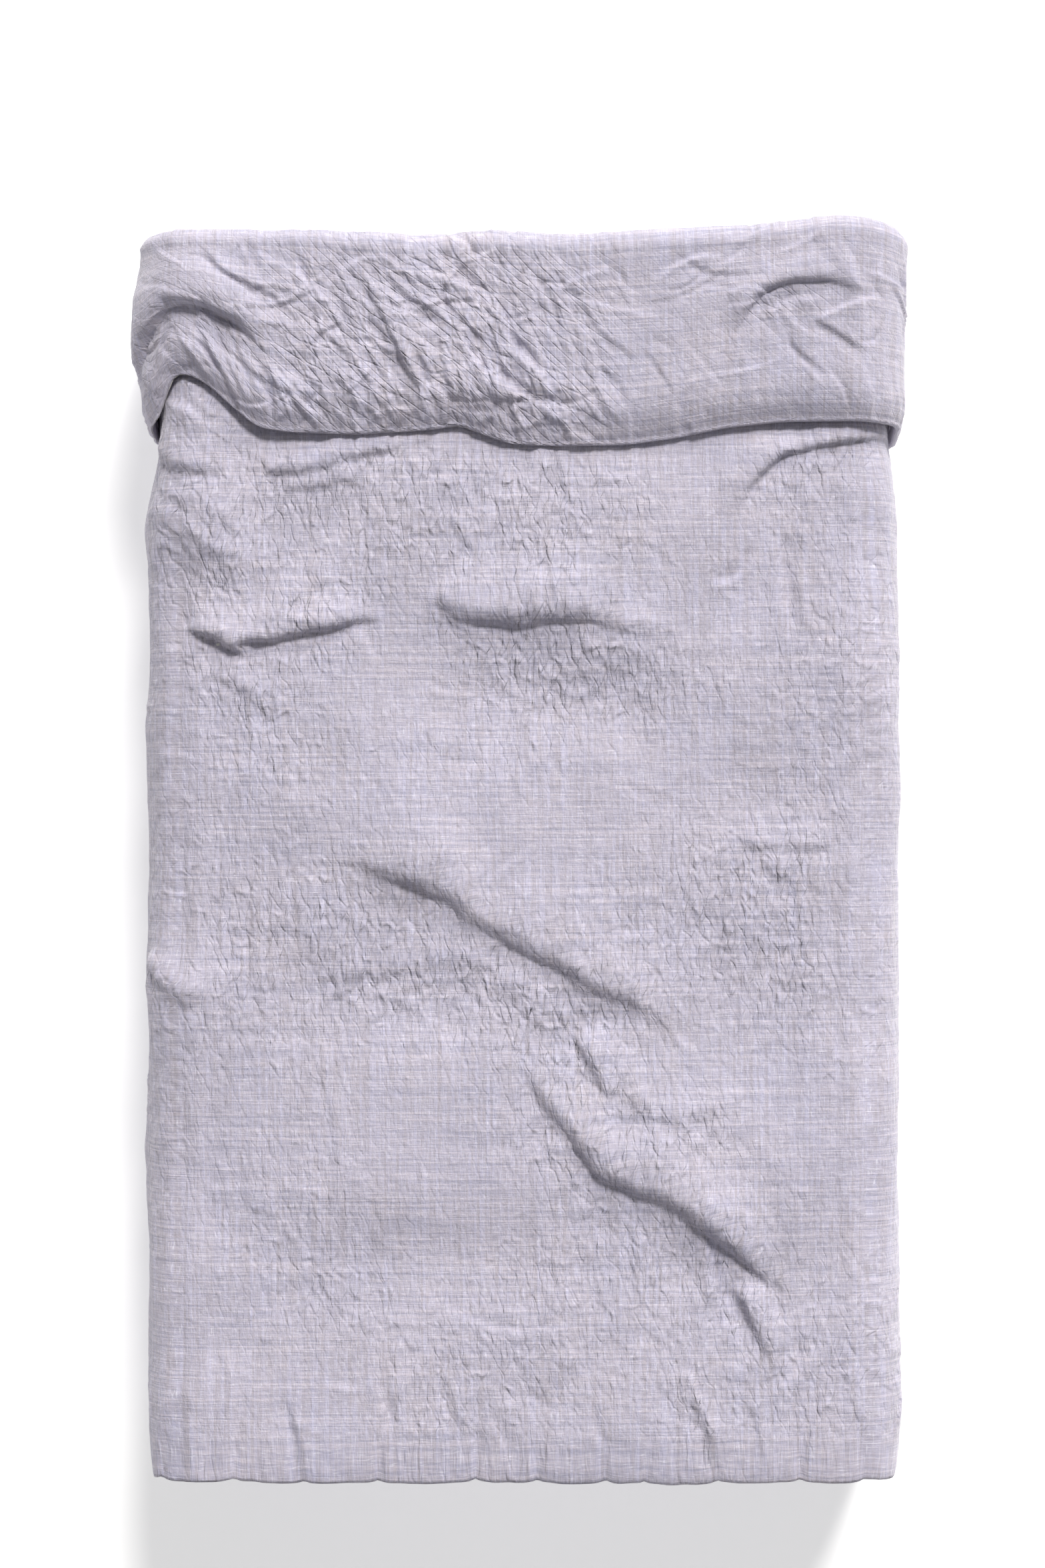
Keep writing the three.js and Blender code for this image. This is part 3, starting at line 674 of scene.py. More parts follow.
def mesh_piece(name, points, faces, finish, uv=None, density=None):
    """A smooth mesh of quads at the origin. uv is the place on the flat cloth, in metres."""
    faces = np.asarray(faces, np.int32)
    mesh = bpy.data.meshes.new(name)
    mesh.vertices.add(len(points))
    mesh.vertices.foreach_set("co", np.asarray(points, np.float32).ravel())
    mesh.loops.add(faces.size)
    mesh.loops.foreach_set("vertex_index", faces.ravel())
    mesh.polygons.add(len(faces))
    mesh.polygons.foreach_set("loop_start", np.arange(0, faces.size, 4, dtype=np.int32))
    mesh.polygons.foreach_set("use_smooth", np.ones(len(faces), bool))
    if uv is not None:
        layer = mesh.uv_layers.new(name="cloth")
        layer.uv.foreach_set("vector", uv.reshape(-1, 2)[faces.ravel()].astype(np.float32).ravel())
    if density is not None:
        held = mesh.attributes.new("crumple", "FLOAT", "POINT")
        held.data.foreach_set("value", density.astype(np.float32).ravel())
    mesh.update()
    mesh.validate()
    mesh.materials.append(material(finish))
    piece = bpy.data.objects.new(name, mesh)
    bpy.context.scene.collection.objects.link(piece)
    return piece


def quads(ids):
    """The faces between the rows and columns of a grid of vertex numbers."""
    return np.stack([ids[:-1, :-1], ids[:-1, 1:], ids[1:, 1:], ids[1:, :-1]], -1).reshape(-1, 4)


def sheet_piece(name, points, finish, uv, density, back=False):
    """An open sheet through a grid of points. It faces out of the duvet's face, or its back."""
    faces = quads(np.arange(points.shape[0] * points.shape[1]).reshape(points.shape[:2]))
    faces = faces[:, ::-1] if back else faces
    return mesh_piece(name, points.reshape(-1, 3), faces, finish, uv, density)


def closed_piece(name, across, along, under, over, finish, place=lay):
    """A closed pad or strip between two heights, joined along its border halfway between."""
    s, t = np.meshgrid(across, along)
    low, high = np.broadcast_to(under(s, t), s.shape), np.broadcast_to(over(s, t), s.shape)
    border = np.ones(s.shape, bool)
    border[1:-1, 1:-1] = False
    middle = (low + high) / 2
    low, high = np.where(border, middle, low), np.where(border, middle, high)
    ids = np.arange(s.size).reshape(s.shape)
    top = ids.copy()
    top[~border] = s.size + np.arange((~border).sum())
    points = np.concatenate([
        place(s, t, low).reshape(-1, 3), place(s, t, high)[~border],
    ])
    uv = np.stack([s, t], -1)
    uv = np.concatenate([uv.reshape(-1, 2), uv[~border]])
    faces = np.concatenate([quads(ids)[:, ::-1], quads(top)])
    return mesh_piece(name, points, faces, finish, uv, np.full(len(points), PAD_CRUMPLE))


def rounded(low, high, edge, middle):
    """Lines across a strip, close together over its rounded edges."""
    turn = edge * (1 - np.cos(np.linspace(0, math.pi / 2, 4)))
    inside = np.linspace(low + edge, high - edge, middle)[1:-1]
    return np.concatenate([low + turn, inside, (high - turn)[::-1]])


def edge_round(place, low, high, edge):
    """Thickness share across a strip: 0 at its edges, 1 inside, on quarter rounds."""
    inset = np.clip(np.minimum(place - low, high - place) / edge, 0, 1)
    return np.sqrt(np.clip(1 - (1 - inset) ** 2, 0, 1))


def strip_piece(name, across, along, under, over, finish, place=lay, edge=1.2 * MM):
    """A closed strip of tape or hem whose edges are rounded. Ranges are (low, high, lines)."""
    s_lines = rounded(across[0], across[1], edge, across[2])
    t_lines = rounded(along[0], along[1], edge, along[2])

    def share(s, t):
        return edge_round(s, *across[:2], edge) * edge_round(t, *along[:2], edge)

    def low(s, t):
        return mix((under(s, t) + over(s, t)) / 2, under(s, t), share(s, t))

    def high(s, t):
        return mix((under(s, t) + over(s, t)) / 2, over(s, t), share(s, t))

    return closed_piece(name, s_lines, t_lines, low, high, finish, place)


def lathe(name, profile, centre, finish):
    """A closed turned shape about an axis along Y. The profile is in millimetres."""
    radius, y = np.array(profile).T * MM
    angle = np.linspace(0, 2 * math.pi, LATHE_SIDES, endpoint=False)[:, None]
    points = np.stack([
        centre[0] + radius * np.cos(angle), centre[1] - y + 0 * angle,
        centre[2] + radius * np.sin(angle),
    ], -1)
    ids = np.arange(points.shape[0] * points.shape[1]).reshape(points.shape[:2])
    faces = quads(np.vstack([ids, ids[:1]]))
    piece = mesh_piece(name, points.reshape(-1, 3), faces[:, ::-1], finish)
    clean(piece.data)
    return piece


def clean(mesh):
    """Merges doubled points and turns every face outwards."""
    work = bmesh.new()
    work.from_mesh(mesh)
    bmesh.ops.remove_doubles(work, verts=work.verts, dist=1e-6)
    bmesh.ops.recalc_face_normals(work, faces=work.faces)
    work.to_mesh(mesh)
    work.free()


# ---- Stitches: a Geometry Nodes tree that sews a thread along paths ----
def stitch_tree():
    """A tree that sews bowed stitches along paths, and the identifier of its thread input.

    Each stitch lies on the cloth, turned a little askew.
    """
    tree = bpy.data.node_groups.new("Lockstitch", "GeometryNodeTree")
    sizes = bpy.context.scene.duvet_sizes

    def socket(name, kind, default=None, way="INPUT"):
        made = tree.interface.new_socket(name=name, in_out=way, socket_type=kind)
        if default is not None:
            made.default_value = default
        return made.identifier

    socket("Geometry", "NodeSocketGeometry")
    socket("Pitch", "NodeSocketFloat", sizes.stitch_pitch)
    socket("Stitch length", "NodeSocketFloat", sizes.stitch_pitch * STITCH_SHARE)
    socket("Thread radius", "NodeSocketFloat", sizes.thread_radius)
    socket("Wander", "NodeSocketFloat", 0.07)
    socket("Seed", "NodeSocketInt", 7)
    thread = socket("Thread", "NodeSocketMaterial")
    socket("Geometry", "NodeSocketGeometry", way="OUTPUT")
    group = tree.nodes.new("NodeGroupInput")
    given = group.outputs
    add = functools.partial(add_node, tree)
    curve = add("GeometryNodeMeshToCurve", Mesh=given["Geometry"])
    line = add("GeometryNodeResampleCurve", {"mode": "LENGTH"}, Curve=curve, Length=given["Pitch"])
    half, back, rise, sink, other_way = [
        add("ShaderNodeMath", {"operation": "MULTIPLY"}, _0=given[size], _1=times)
        for size, times in (("Stitch length", 0.5), ("Stitch length", -0.5),
                            ("Thread radius", 3.0), ("Thread radius", -0.8), ("Wander", -1.0))
    ]
    bow = add("GeometryNodeCurveQuadraticBezier", Resolution=5,
              Start=add("ShaderNodeCombineXYZ", X=back, Z=sink),
              Middle=add("ShaderNodeCombineXYZ", Z=rise),
              End=add("ShaderNodeCombineXYZ", X=half, Z=sink))
    ring = add("GeometryNodeCurvePrimitiveCircle", {"mode": "RADIUS"}, Resolution=5,
               Radius=given["Thread radius"])
    stitch = add("GeometryNodeCurveToMesh", Curve=bow, Profile_Curve=ring, Fill_Caps=True)
    outward = add("GeometryNodeInputNamedAttribute", {"data_type": "FLOAT_VECTOR"}, Name="outward")
    facing = add("FunctionNodeAlignRotationToVector", {"axis": "Z"}, Vector=outward)
    along = add("FunctionNodeAlignRotationToVector", {"axis": "X", "pivot_axis": "Z"},
                Rotation=facing, Vector=add("GeometryNodeInputTangent"))
    askew = add("FunctionNodeRandomValue", {"data_type": "FLOAT"}, 1, _2=other_way,
                _3=given["Wander"], Seed=given["Seed"])
    askew = add("FunctionNodeEulerToRotation", Euler=add("ShaderNodeCombineXYZ", Z=askew))
    rotation = add("FunctionNodeRotateRotation", {"rotation_space": "LOCAL"},
                   Rotation=along, Rotate_By=askew)
    placed = add("GeometryNodeInstanceOnPoints", Points=line, Instance=stitch, Rotation=rotation)
    real = add("GeometryNodeRealizeInstances", Geometry=placed)
    add("NodeGroupOutput", _0=add("GeometryNodeSetMaterial", Geometry=real,
                                  Material=given["Thread"]))
    return tree, thread


def stitched(name, paths):
    """One mesh of stitches along paths, each a list of points and of outward directions."""
    tree, thread = stitch_tree()
    mesh = bpy.data.meshes.new(name)
    counts = [len(points) for points, _ in paths]
    starts = np.cumsum([0, *counts[:-1]])
    edges = [(a + k, a + k + 1) for a, n in zip(starts, counts) for k in range(n - 1)]
    mesh.from_pydata(np.concatenate([p for p, _ in paths]).tolist(), edges, [])
    outward = mesh.attributes.new("outward", "FLOAT_VECTOR", "POINT")
    outward.data.foreach_set("vector", np.concatenate([n for _, n in paths]).ravel())
    piece = bpy.data.objects.new(name, mesh)
    bpy.context.scene.collection.objects.link(piece)
    sewing = piece.modifiers.new("Lockstitch", "NODES")
    sewing.node_group = tree
    sewing[thread] = material("thread")
    bpy.context.view_layer.update()
    depsgraph = bpy.context.evaluated_depsgraph_get()
    made = bpy.data.meshes.new_from_object(piece.evaluated_get(depsgraph))
    made.name = name
    piece.modifiers.clear()
    piece.data = made
    return piece


def seam_path(s, t, h, place=lay, side=1):
    """A stitch line over the flat cloth, with the direction out of it at each point."""
    s, t, h = np.broadcast_arrays(*(np.asarray(v, float) for v in (s, t, h)))
    outward = side * (place(s, t, h + MM) - place(s, t, h)) / MM
    outward /= np.linalg.norm(outward, axis=-1, keepdims=True)
    return place(s, t, h) + outward * THREAD_LIFT, outward

# ---- Materials ----
def linear(code):
    """An sRGB hex colour as linear RGBA."""
    parts = [int(code[i:i + 2], 16) / 255 for i in (1, 3, 5)]
    return (*[p / 12.92 if p <= 0.04045 else ((p + 0.055) / 1.055) ** 2.4 for p in parts], 1.0)


def add_node(tree, kind, settings=None, out=0, **inputs):
    """A node with its settings and inputs, by name or as _number. A socket given is linked.

    It returns one of the node's outputs, or the node itself where it has none.
    """
    made = tree.nodes.new(kind)
    for key, value in (settings or {}).items():
        setattr(made, key, value)
    for key, value in inputs.items():
        which = int(key[1:]) if key[1:].isdigit() else key.replace("_", " ")
        if isinstance(value, bpy.types.NodeSocket):
            tree.links.new(value, made.inputs[which])
        else:
            made.inputs[which].default_value = value
    return made.outputs[out] if len(made.outputs) else made


def start_material(name, on_cloth=True):
    """A new material, a way to add nodes to it, and where its patterns lie."""
    made = bpy.data.materials.new(name)
    made.use_nodes = True
    made.node_tree.nodes.clear()
    add = functools.partial(add_node, made.node_tree)
    if on_cloth:
        return made, add, add("ShaderNodeUVMap", {"uv_map": "cloth"})
    return made, add, add("ShaderNodeTexCoord", out="Object")


def finish_material(made, add, colour=None, rough=None, relief=(), **inputs):
    """Closes a material with its shader.

    colour is (pattern, hex at 0, hex at 1) and rough is (pattern, at 0, at 1). relief lists
    (height, millimetres, strength) from the broadest to the finest. The rest are the shader's.
    """
    if colour:
        inputs["Base_Color"] = add("ShaderNodeMix", {"data_type": "RGBA"}, 2, _0=colour[0],
                                   _6=linear(colour[1]), _7=linear(colour[2]))
    if rough:
        inputs["Roughness"] = add("ShaderNodeMapRange", Value=rough[0], To_Min=rough[1],
                                  To_Max=rough[2])
    for height, deep, strength in relief:
        under = {"Normal": inputs["Normal"]} if "Normal" in inputs else {}
        inputs["Normal"] = add("ShaderNodeBump", Height=height, Distance=deep * MM,
                               Strength=strength, **under)
    add("ShaderNodeOutputMaterial", Surface=add("ShaderNodeBsdfPrincipled", **inputs))
    return made


def grain(add, place, across, along, seed=0.0, detail=2.0, distortion=0.0, kind="FBM"):
    """Noise stretched over the cloth, its grains so many metres across and along."""
    spread = add("ShaderNodeMapping", Vector=place, Location=(seed, seed * 0.7, 0),
                 Scale=(1 / across, 1 / along, 1 / across))
    return add("ShaderNodeTexNoise", {"noise_type": kind}, Vector=spread, Scale=1.0,
               Detail=detail, Roughness=0.6, Distortion=distortion)


def plain_weave(add, place, pitch):
    """Warp over weft as two crossed waves, one thread every pitch metres."""
    turns = math.pi / (10 * pitch)  # a wave texture has 20 bands in 2 pi at scale 1
    warp, weft = [
        add("ShaderNodeTexWave", {"bands_direction": way}, Vector=place, Scale=turns,
            Distortion=0.6, Detail=1.0)
        for way in "XY"
    ]
    return add("ShaderNodeMath", {"operation": "MULTIPLY"}, _0=warp, _1=weft)


def washed_chambray_linen(part="", lean=0.15):
    """Chambray linen, washed and tumbled: bluish warp, pinkish weft, slubs both ways.

    The eye gets a soft matt cloth with a fine uneven crosshatch, paler where it turns away.
    """
    sizes = bpy.context.scene.duvet_sizes
    made, add, place = start_material("Washed_chambray_linen" + part)
    # Slubs, the thick places in a yarn, are 0.5 mm by 10 mm in life: drawn three times coarser.
    warp = grain(add, place, 1.5 * MM, 30 * MM, 1.0)
    weft = grain(add, place, 30 * MM, 1.5 * MM, 2.0)
    warp_bands = grain(add, place, 4 * MM, 220 * MM, 3.0, 1.0)
    weft_bands = grain(add, place, 220 * MM, 4 * MM, 4.0, 1.0)
    dye = grain(add, place, 110 * MM, 140 * MM, 5.0, 3.0)
    warp = add("ShaderNodeMath", {"operation": "ADD"}, _0=warp, _1=warp_bands)
    weft = add("ShaderNodeMath", {"operation": "ADD"}, _0=weft, _1=weft_bands)
    warp = add("ShaderNodeMapRange", Value=warp, From_Min=0.72, From_Max=1.28)
    weft = add("ShaderNodeMapRange", Value=weft, From_Min=0.72, From_Max=1.28)
    threads = add("ShaderNodeMath", {"operation": "ADD"}, _0=warp, _1=weft)
    tone = add("ShaderNodeMath", {"operation": "SUBTRACT"}, _0=weft, _1=warp)
    tone = add("ShaderNodeMath", {"operation": "ADD"}, _0=tone, _1=dye)
    tone = add("ShaderNodeMapRange", Value=tone, From_Min=-0.3, From_Max=1.3)
    base = add("ShaderNodeMix", {"data_type": "RGBA"}, 2, _0=tone,
               _6=linear(sizes.warp_colour), _7=linear(sizes.weft_colour))
    # Single undyed fibres catch the light as short pale lines both ways.
    pale_warp = grain(add, place, 0.9 * MM, 14 * MM, 6.0, 1.0)
    pale_weft = grain(add, place, 14 * MM, 0.9 * MM, 7.0, 1.0)
    pale = add("ShaderNodeMath", {"operation": "MAXIMUM"}, _0=pale_warp, _1=pale_weft)
    pale = add("ShaderNodeMapRange", Value=pale, From_Min=0.58, From_Max=0.74, To_Max=0.75)
    base = add("ShaderNodeMix", {"data_type": "RGBA"}, 2, _0=pale, _6=base,
               _7=linear(sizes.slub_colour))
    shade = add("ShaderNodeMapRange", Value=threads, From_Min=0.3, From_Max=1.7,
                To_Min=0.80, To_Max=1.18)
    wear = add("ShaderNodeMapRange", Value=dye, From_Min=0.3, From_Max=0.7,
               To_Min=0.97, To_Max=1.03)
    shade = add("ShaderNodeMath", {"operation": "MULTIPLY"}, _0=shade, _1=wear)
    shade = add("ShaderNodeCombineColor", _0=shade, _1=shade, _2=shade)
    colour = add("ShaderNodeMix", {"data_type": "RGBA", "blend_type": "MULTIPLY"}, 2,
                 _0=1.0, _6=base, _7=shade)
    crushed = add("ShaderNodeAttribute", {"attribute_name": "crumple"}, "Fac")
    ridges = grain(add, place, 16 * MM, 22 * MM, 8.0, 4.0, 0.5, "RIDGED_MULTIFRACTAL")
    ridges = add("ShaderNodeMath", {"operation": "MULTIPLY"}, _0=ridges, _1=crushed)
    crepe = grain(add, place, 3 * MM, 7 * MM, 9.0, 3.0)
    weave = plain_weave(add, place, sizes.thread_pitch)
    # Crushed cells some 9 by 30 mm meet in sharp little valleys, lengthened along the lean.
    warped = add("ShaderNodeMapping", {"vector_type": "TEXTURE"}, Vector=place,
                 Scale=(9 * MM, 30 * MM, 1), Rotation=(0, 0, lean))
    cells = add("ShaderNodeTexVoronoi", {"voronoi_dimensions": "2D"}, Scale=1.0, Vector=warped)
    cells = add("ShaderNodeMath", {"operation": "MULTIPLY"}, _0=cells, _1=crushed)
    # Pressed creases: sharp lines 60 to 110 mm long that cross each other at a slant.
    lines = []
    for width, length, turn in ((20, 110, 0.12), (11, 60, -0.28)):
        drift = grain(add, place, 40 * MM, 40 * MM, 10.0 + turn, 2.0)
        drift = add("ShaderNodeVectorMath", {"operation": "SCALE"}, _0=(0.02, 0.02, 0),
                    Scale=drift)
        bent = add("ShaderNodeVectorMath", {"operation": "ADD"}, _0=place, _1=drift)
        bent = add("ShaderNodeMapping", {"vector_type": "TEXTURE"}, Vector=bent,
                   Rotation=(0, 0, lean + turn), Scale=(width * MM, length * MM, 1))
        line = add("ShaderNodeTexVoronoi", {"voronoi_dimensions": "2D",
                   "feature": "DISTANCE_TO_EDGE"}, Scale=1.0, Vector=bent)
        line = add("ShaderNodeMapRange", {"interpolation_type": "SMOOTHSTEP"}, Value=line,
                   From_Min=0.0, From_Max=0.13)
        lines.append(line)
    pressed = add("ShaderNodeMath", {"operation": "ADD"}, _0=lines[0], _1=lines[1])
    pressed = add("ShaderNodeMath", {"operation": "MULTIPLY"}, _0=pressed, _1=crushed)
    relief = [(pressed, 0.7, 1.0), (cells, 1.5, 1.0), (ridges, 4.0, 1.0), (crepe, 0.9, 1.0),
              (threads, 0.25, 0.8), (weave, 0.1, 0.6)]
    return finish_material(made, add, rough=(tone, 0.84, 0.93), relief=relief, Base_Color=colour,
                           Specular_IOR_Level=0.2, Sheen_Weight=0.3, Sheen_Roughness=0.5)


def bleached_percale():
    """Close white cotton percale, the insert's shell: smooth and a little crisp."""
    made, add, place = start_material("Bleached_cotton_percale")
    weave = plain_weave(add, place, 1.1 * MM)
    puckers = grain(add, place, 14 * MM, 14 * MM, 1.0, 3.0)
    slub = grain(add, place, 1.2 * MM, 20 * MM, 2.0)
    return finish_material(made, add, (slub, "#DBD7CC", "#F2EFE8"), (puckers, 0.65, 0.85),
                           [(puckers, 0.8, 0.8), (weave, 0.1, 0.5)],
                           Specular_IOR_Level=0.3, Sheen_Weight=0.15)


def carded_wadding():
    """Carded polyester wadding: loose white fibres with no gloss, in soft clumps."""
    made, add, place = start_material("Carded_polyester_wadding", on_cloth=False)
    clumps = grain(add, place, 9 * MM, 9 * MM, 1.0, 4.0)
    fibres = grain(add, place, 1.2 * MM, 16 * MM, 3.0, 3.0, 1.5)
    return finish_material(made, add, (clumps, "#DCDAD4", "#F4F3EF"), (fibres, 0.85, 1.0),
                           [(clumps, 3, 1.0), (fibres, 0.8, 0.8)],
                           Specular_IOR_Level=0.1, Sheen_Weight=0.6)


def woven_tape():
    """Woven cotton tape: fine slanting ribs about 1.4 mm apart, matt and slightly fuzzy."""
    made, add, place = start_material("Woven_cotton_tape")
    ribs = add("ShaderNodeTexWave", {"bands_direction": "DIAGONAL"}, Vector=place,
               Scale=math.pi / (14 * MM), Distortion=0.8, Detail=1.0)
    fuzz = grain(add, place, 1 * MM, 4 * MM)
    return finish_material(made, add, (ribs, "#BDB7C2", "#D9D5DC"), (fuzz, 0.78, 0.92),
                           [(ribs, 0.25, 0.9)])


def satin_ribbon():
    """Polyester satin ribbon, unprinted: long floats along it give a soft sheen one way."""
    made, add, place = start_material("Satin_ribbon")
    floats = grain(add, place, 0.6 * MM, 12 * MM, 1.0)
    return finish_material(made, add, (floats, "#E2E0DA", "#F4F3F0"), (floats, 0.30, 0.48),
                           [(floats, 0.06, 0.8)], Anisotropic=0.5)


def nickel_plated_brass():
    """Stamped brass plated with nickel: a warm grey metal, finely scratched in the wash."""
    made, add, place = start_material("Nickel_plated_brass", on_cloth=False)
    scratches = grain(add, place, 0.3 * MM, 5 * MM, 1.0, 3.0, 0.6)
    cloud = grain(add, place, 4 * MM, 4 * MM, 2.0)
    return finish_material(made, add, (cloud, "#A9A6A0", "#C4C2BD"), (scratches, 0.24, 0.44),
                           [(scratches, 0.03, 0.6)], Metallic=1.0)


def spun_thread():
    """Spun polyester sewing thread of two twisted plies, a shade off the cloth."""
    sizes = bpy.context.scene.duvet_sizes
    made, add, place = start_material("Spun_sewing_thread", on_cloth=False)
    plies = grain(add, place, 0.5 * MM, 0.5 * MM, 1.0)
    return finish_material(made, add, (plies, sizes.thread_colour, sizes.slub_colour),
                           (plies, 0.55, 0.8), [(plies, 0.1, 0.8)], Sheen_Weight=0.2)


def studio_paper():
    """Seamless white paper: matt, with a faint grain, lifted by a little glow of its own."""
    made, add, place = start_material("Matt_white_paper", on_cloth=False)
    fibre = grain(add, place, 20 * MM, 20 * MM)
    glow = bpy.context.scene.duvet_sizes.floor_glow
    return finish_material(made, add, (fibre, "#F4F4F4", "#FAFAFA"), Roughness=0.95,
                           Emission_Color=(1, 1, 1, 1), Emission_Strength=glow)


FINISHES = {
    "linen": washed_chambray_linen,
    "linen_turned": functools.partial(washed_chambray_linen, "_turned_down", -0.6),
    "percale": bleached_percale,
    "wadding": carded_wadding,
    "tape": woven_tape,
    "satin": satin_ribbon,
    "nickel": nickel_plated_brass,
    "thread": spun_thread,
    "paper": studio_paper,
}
made_finishes = {}


def material(finish):
    """The material for a finish, made the first time it is asked for."""
    if finish not in made_finishes:
        made_finishes[finish] = FINISHES[finish]()
    return made_finishes[finish]

# ---- The crumpled layers that several pieces lie under ----
SIDE_GRID = 8 * MM  # spacing of the body's mesh down its hanging sides
TURNED_SIDE_GRID = 7 * MM  # and of the turned part's
TUCKED_GRID = 12 * MM  # and of the body's under the turned part
TUCKED_Y = 0.66  # past this the body's face panel is never seen
FINE_REACH, TURNED_FINE_REACH = 0.508, 0.53  # half widths over which the meshes are fine
CALM_HEAD, CALM_TURN = 60 * MM, 25 * MM  # the cloth is smooth so near to the turn, on each side
DEEPEST = 24 * MM  # no hollow of the body goes deeper
TURNED_DEEPEST = 14 * MM  # nor one of the turned part
TURNED_HIGH = 9 * MM  # above this the turned part's folds are pressed flatter
UNDER_TURN = 0.5 * MM  # how far the body may rise under the turned part
PUFF_LENGTH, PUFF = 45 * MM, 55 * MM  # how far along the foot's puff runs, and its strength
PINCH, PINCH_WIDTH = 0.16, 9 * MM  # how much a pinch draws the puff in, and how wide it is
EDGE_ROLL = 6 * MM  # how far back from its free edge the turned part starts to round over
EDGE_THIN, THIN_LENGTH = 4.5 * MM, 55 * MM  # its thickness there, and over what it thins
DROOP, DROOP_LENGTH = 4.5 * MM, 70 * MM  # how far its edge sinks, and over what distance


def side_fullness(s):
    """How full the duvet is near its two sewn sides."""
    return fullness(HALF_CLOTH - np.abs(s))


@functools.cache
def body_cloth():
    """The body's crumple on the grid that its face panel is made on."""
    gap = bpy.context.scene.duvet_sizes.body_grid
    across = spaced([(-HALF_CLOTH, SIDE_GRID), (-FINE_REACH, gap), (FINE_REACH, SIDE_GRID),
                     (HALF_CLOTH, 0)])
    along = spaced([(0, gap), (TUCKED_Y - FOOT_Y, TUCKED_GRID), (BODY_LENGTH, 0)])
    cloth = Cloth(across, along)
    crush_body(cloth)
    s, t = cloth.s, cloth.t
    calm = side_fullness(s) * fullness(t) * ease((BODY_LENGTH - t) / CALM_HEAD)
    cloth.rise = np.maximum(cloth.rise, -DEEPEST) * calm
    cloth.slide *= calm[..., None]
    under_turn = ease((t + FOOT_Y - free_edge(s) + 4 * MM) / (12 * MM))
    cloth.rise = np.where(cloth.rise > 0, cloth.rise * (1 - under_turn), cloth.rise)
    cloth.rise = np.minimum(cloth.rise, mix(1.0, UNDER_TURN, under_turn))
    # the foot edge is plump: it stands out over its seam
    foot = np.clip(t / PUFF_LENGTH, 0, 1)
    puff = np.sin(math.pi * foot) * (1 - foot)
    gathers = 0.94 + 0.05 * wandering(s, 0 * t, 0.07, 8) + 0.03 * wandering(s, 0 * t, 0.018, 9)
    for place in FOOT_PINCHES:
        gathers -= PINCH * np.exp(-np.abs(s - place) / PINCH_WIDTH)
    cloth.slide[..., 1] -= PUFF * puff * gathers
    cloth.lowered = blur(lowest(cloth.rise, 2), 3) - 1.2 * MM
    return cloth


@functools.cache
def turned_cloth():
    """The turned part's crumple, from the start of the turn to where its edge rolls under."""
    gap = bpy.context.scene.duvet_sizes.turned_grid
    across = spaced([(-HALF_CLOTH, TURNED_SIDE_GRID), (-TURNED_FINE_REACH, gap),
                     (TURNED_FINE_REACH, TURNED_SIDE_GRID), (HALF_CLOTH, 0)])
    along = spaced([(BODY_LENGTH, gap), (CLOTH_LENGTH - EDGE_ROLL, 0)])
    cloth = Cloth(across, along)
    crush_turned(cloth)
    s, t = cloth.s, cloth.t
    calm = side_fullness(s) * ease((t - BODY_LENGTH) / CALM_TURN)
    cloth.rise = np.clip(cloth.rise, -TURNED_DEEPEST, None) * calm
    cloth.rise -= 0.6 * np.maximum(cloth.rise - TURNED_HIGH, 0)
    # it thins out towards its free edge, which lies flat in a hollow of the body
    thin = np.clip(1 - (CLOTH_LENGTH - t) / THIN_LENGTH, 0, 1) ** 2.6 * side_fullness(s)
    cloth.rise -= thin * (TURN_LOFT - EDGE_THIN)
    cloth.rise = np.maximum(cloth.rise, turned_top(s, t) - full_loft(t) + 3 * MM)
    cloth.rise -= 2.0 * MM * ease((np.abs(s) - BEND_START) / 0.08) * ease((t - BODY_LENGTH) / 0.1)
    cloth.slide *= calm[..., None]
    cloth.lowered = blur(lowest(cloth.rise, 2), 3) - 1.0 * MM
    return cloth


def lay_body(s, t, share):
    """A place inside the body: share runs from 0 on its back panel to 1 on its face panel."""
    cloth = body_cloth()
    slide = cloth.read(cloth.slide, s, t) * np.asarray(share)[..., None]
    depth = (loft_at(s, t) + cloth.read(cloth.lowered, s, t)) * share
    return lay(s + slide[..., 0], t + slide[..., 1], depth)


def lay_turned(s, t, share):
    """A place inside the turned part: share runs from 0 on its outside to 1 on the body."""
    cloth = turned_cloth()
    slide = cloth.read(cloth.slide, s, t) * (1 - np.asarray(share))[..., None]
    top = turned_top(s, t) - cloth.read(cloth.lowered, s, t)
    depth = mix(top, full_loft(t), share) + droop(s, t)
    return lay(s + slide[..., 0], t + slide[..., 1], depth)


def droop(s, t):
    """How far the turned part sinks into the hollow along its free edge."""
    return DROOP * ease(1 - (CLOTH_LENGTH - t) / DROOP_LENGTH) * flat_top(s, 0.55)


def turned_top(s, t):
    """The outside of the turned part before it is crumpled, as a height through the duvet."""
    thick = SEAM_THICKNESS + (full_loft(t) - SEAM_THICKNESS) * side_fullness(s)
    return turned(t) * (full_loft(t) - thick)


def settle(piece, body, slot, *nodes):
    """Gives a piece the body it moves with and hides the nodes that it stands for. Its slot is not
    used.

    One that bends round the turn at the head gets no body: its place is only baked into its mesh.
    """
    if body == TURN_BODY:
        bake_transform(piece)
    else:
        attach(piece, body)
    if nodes:
        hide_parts(*nodes)


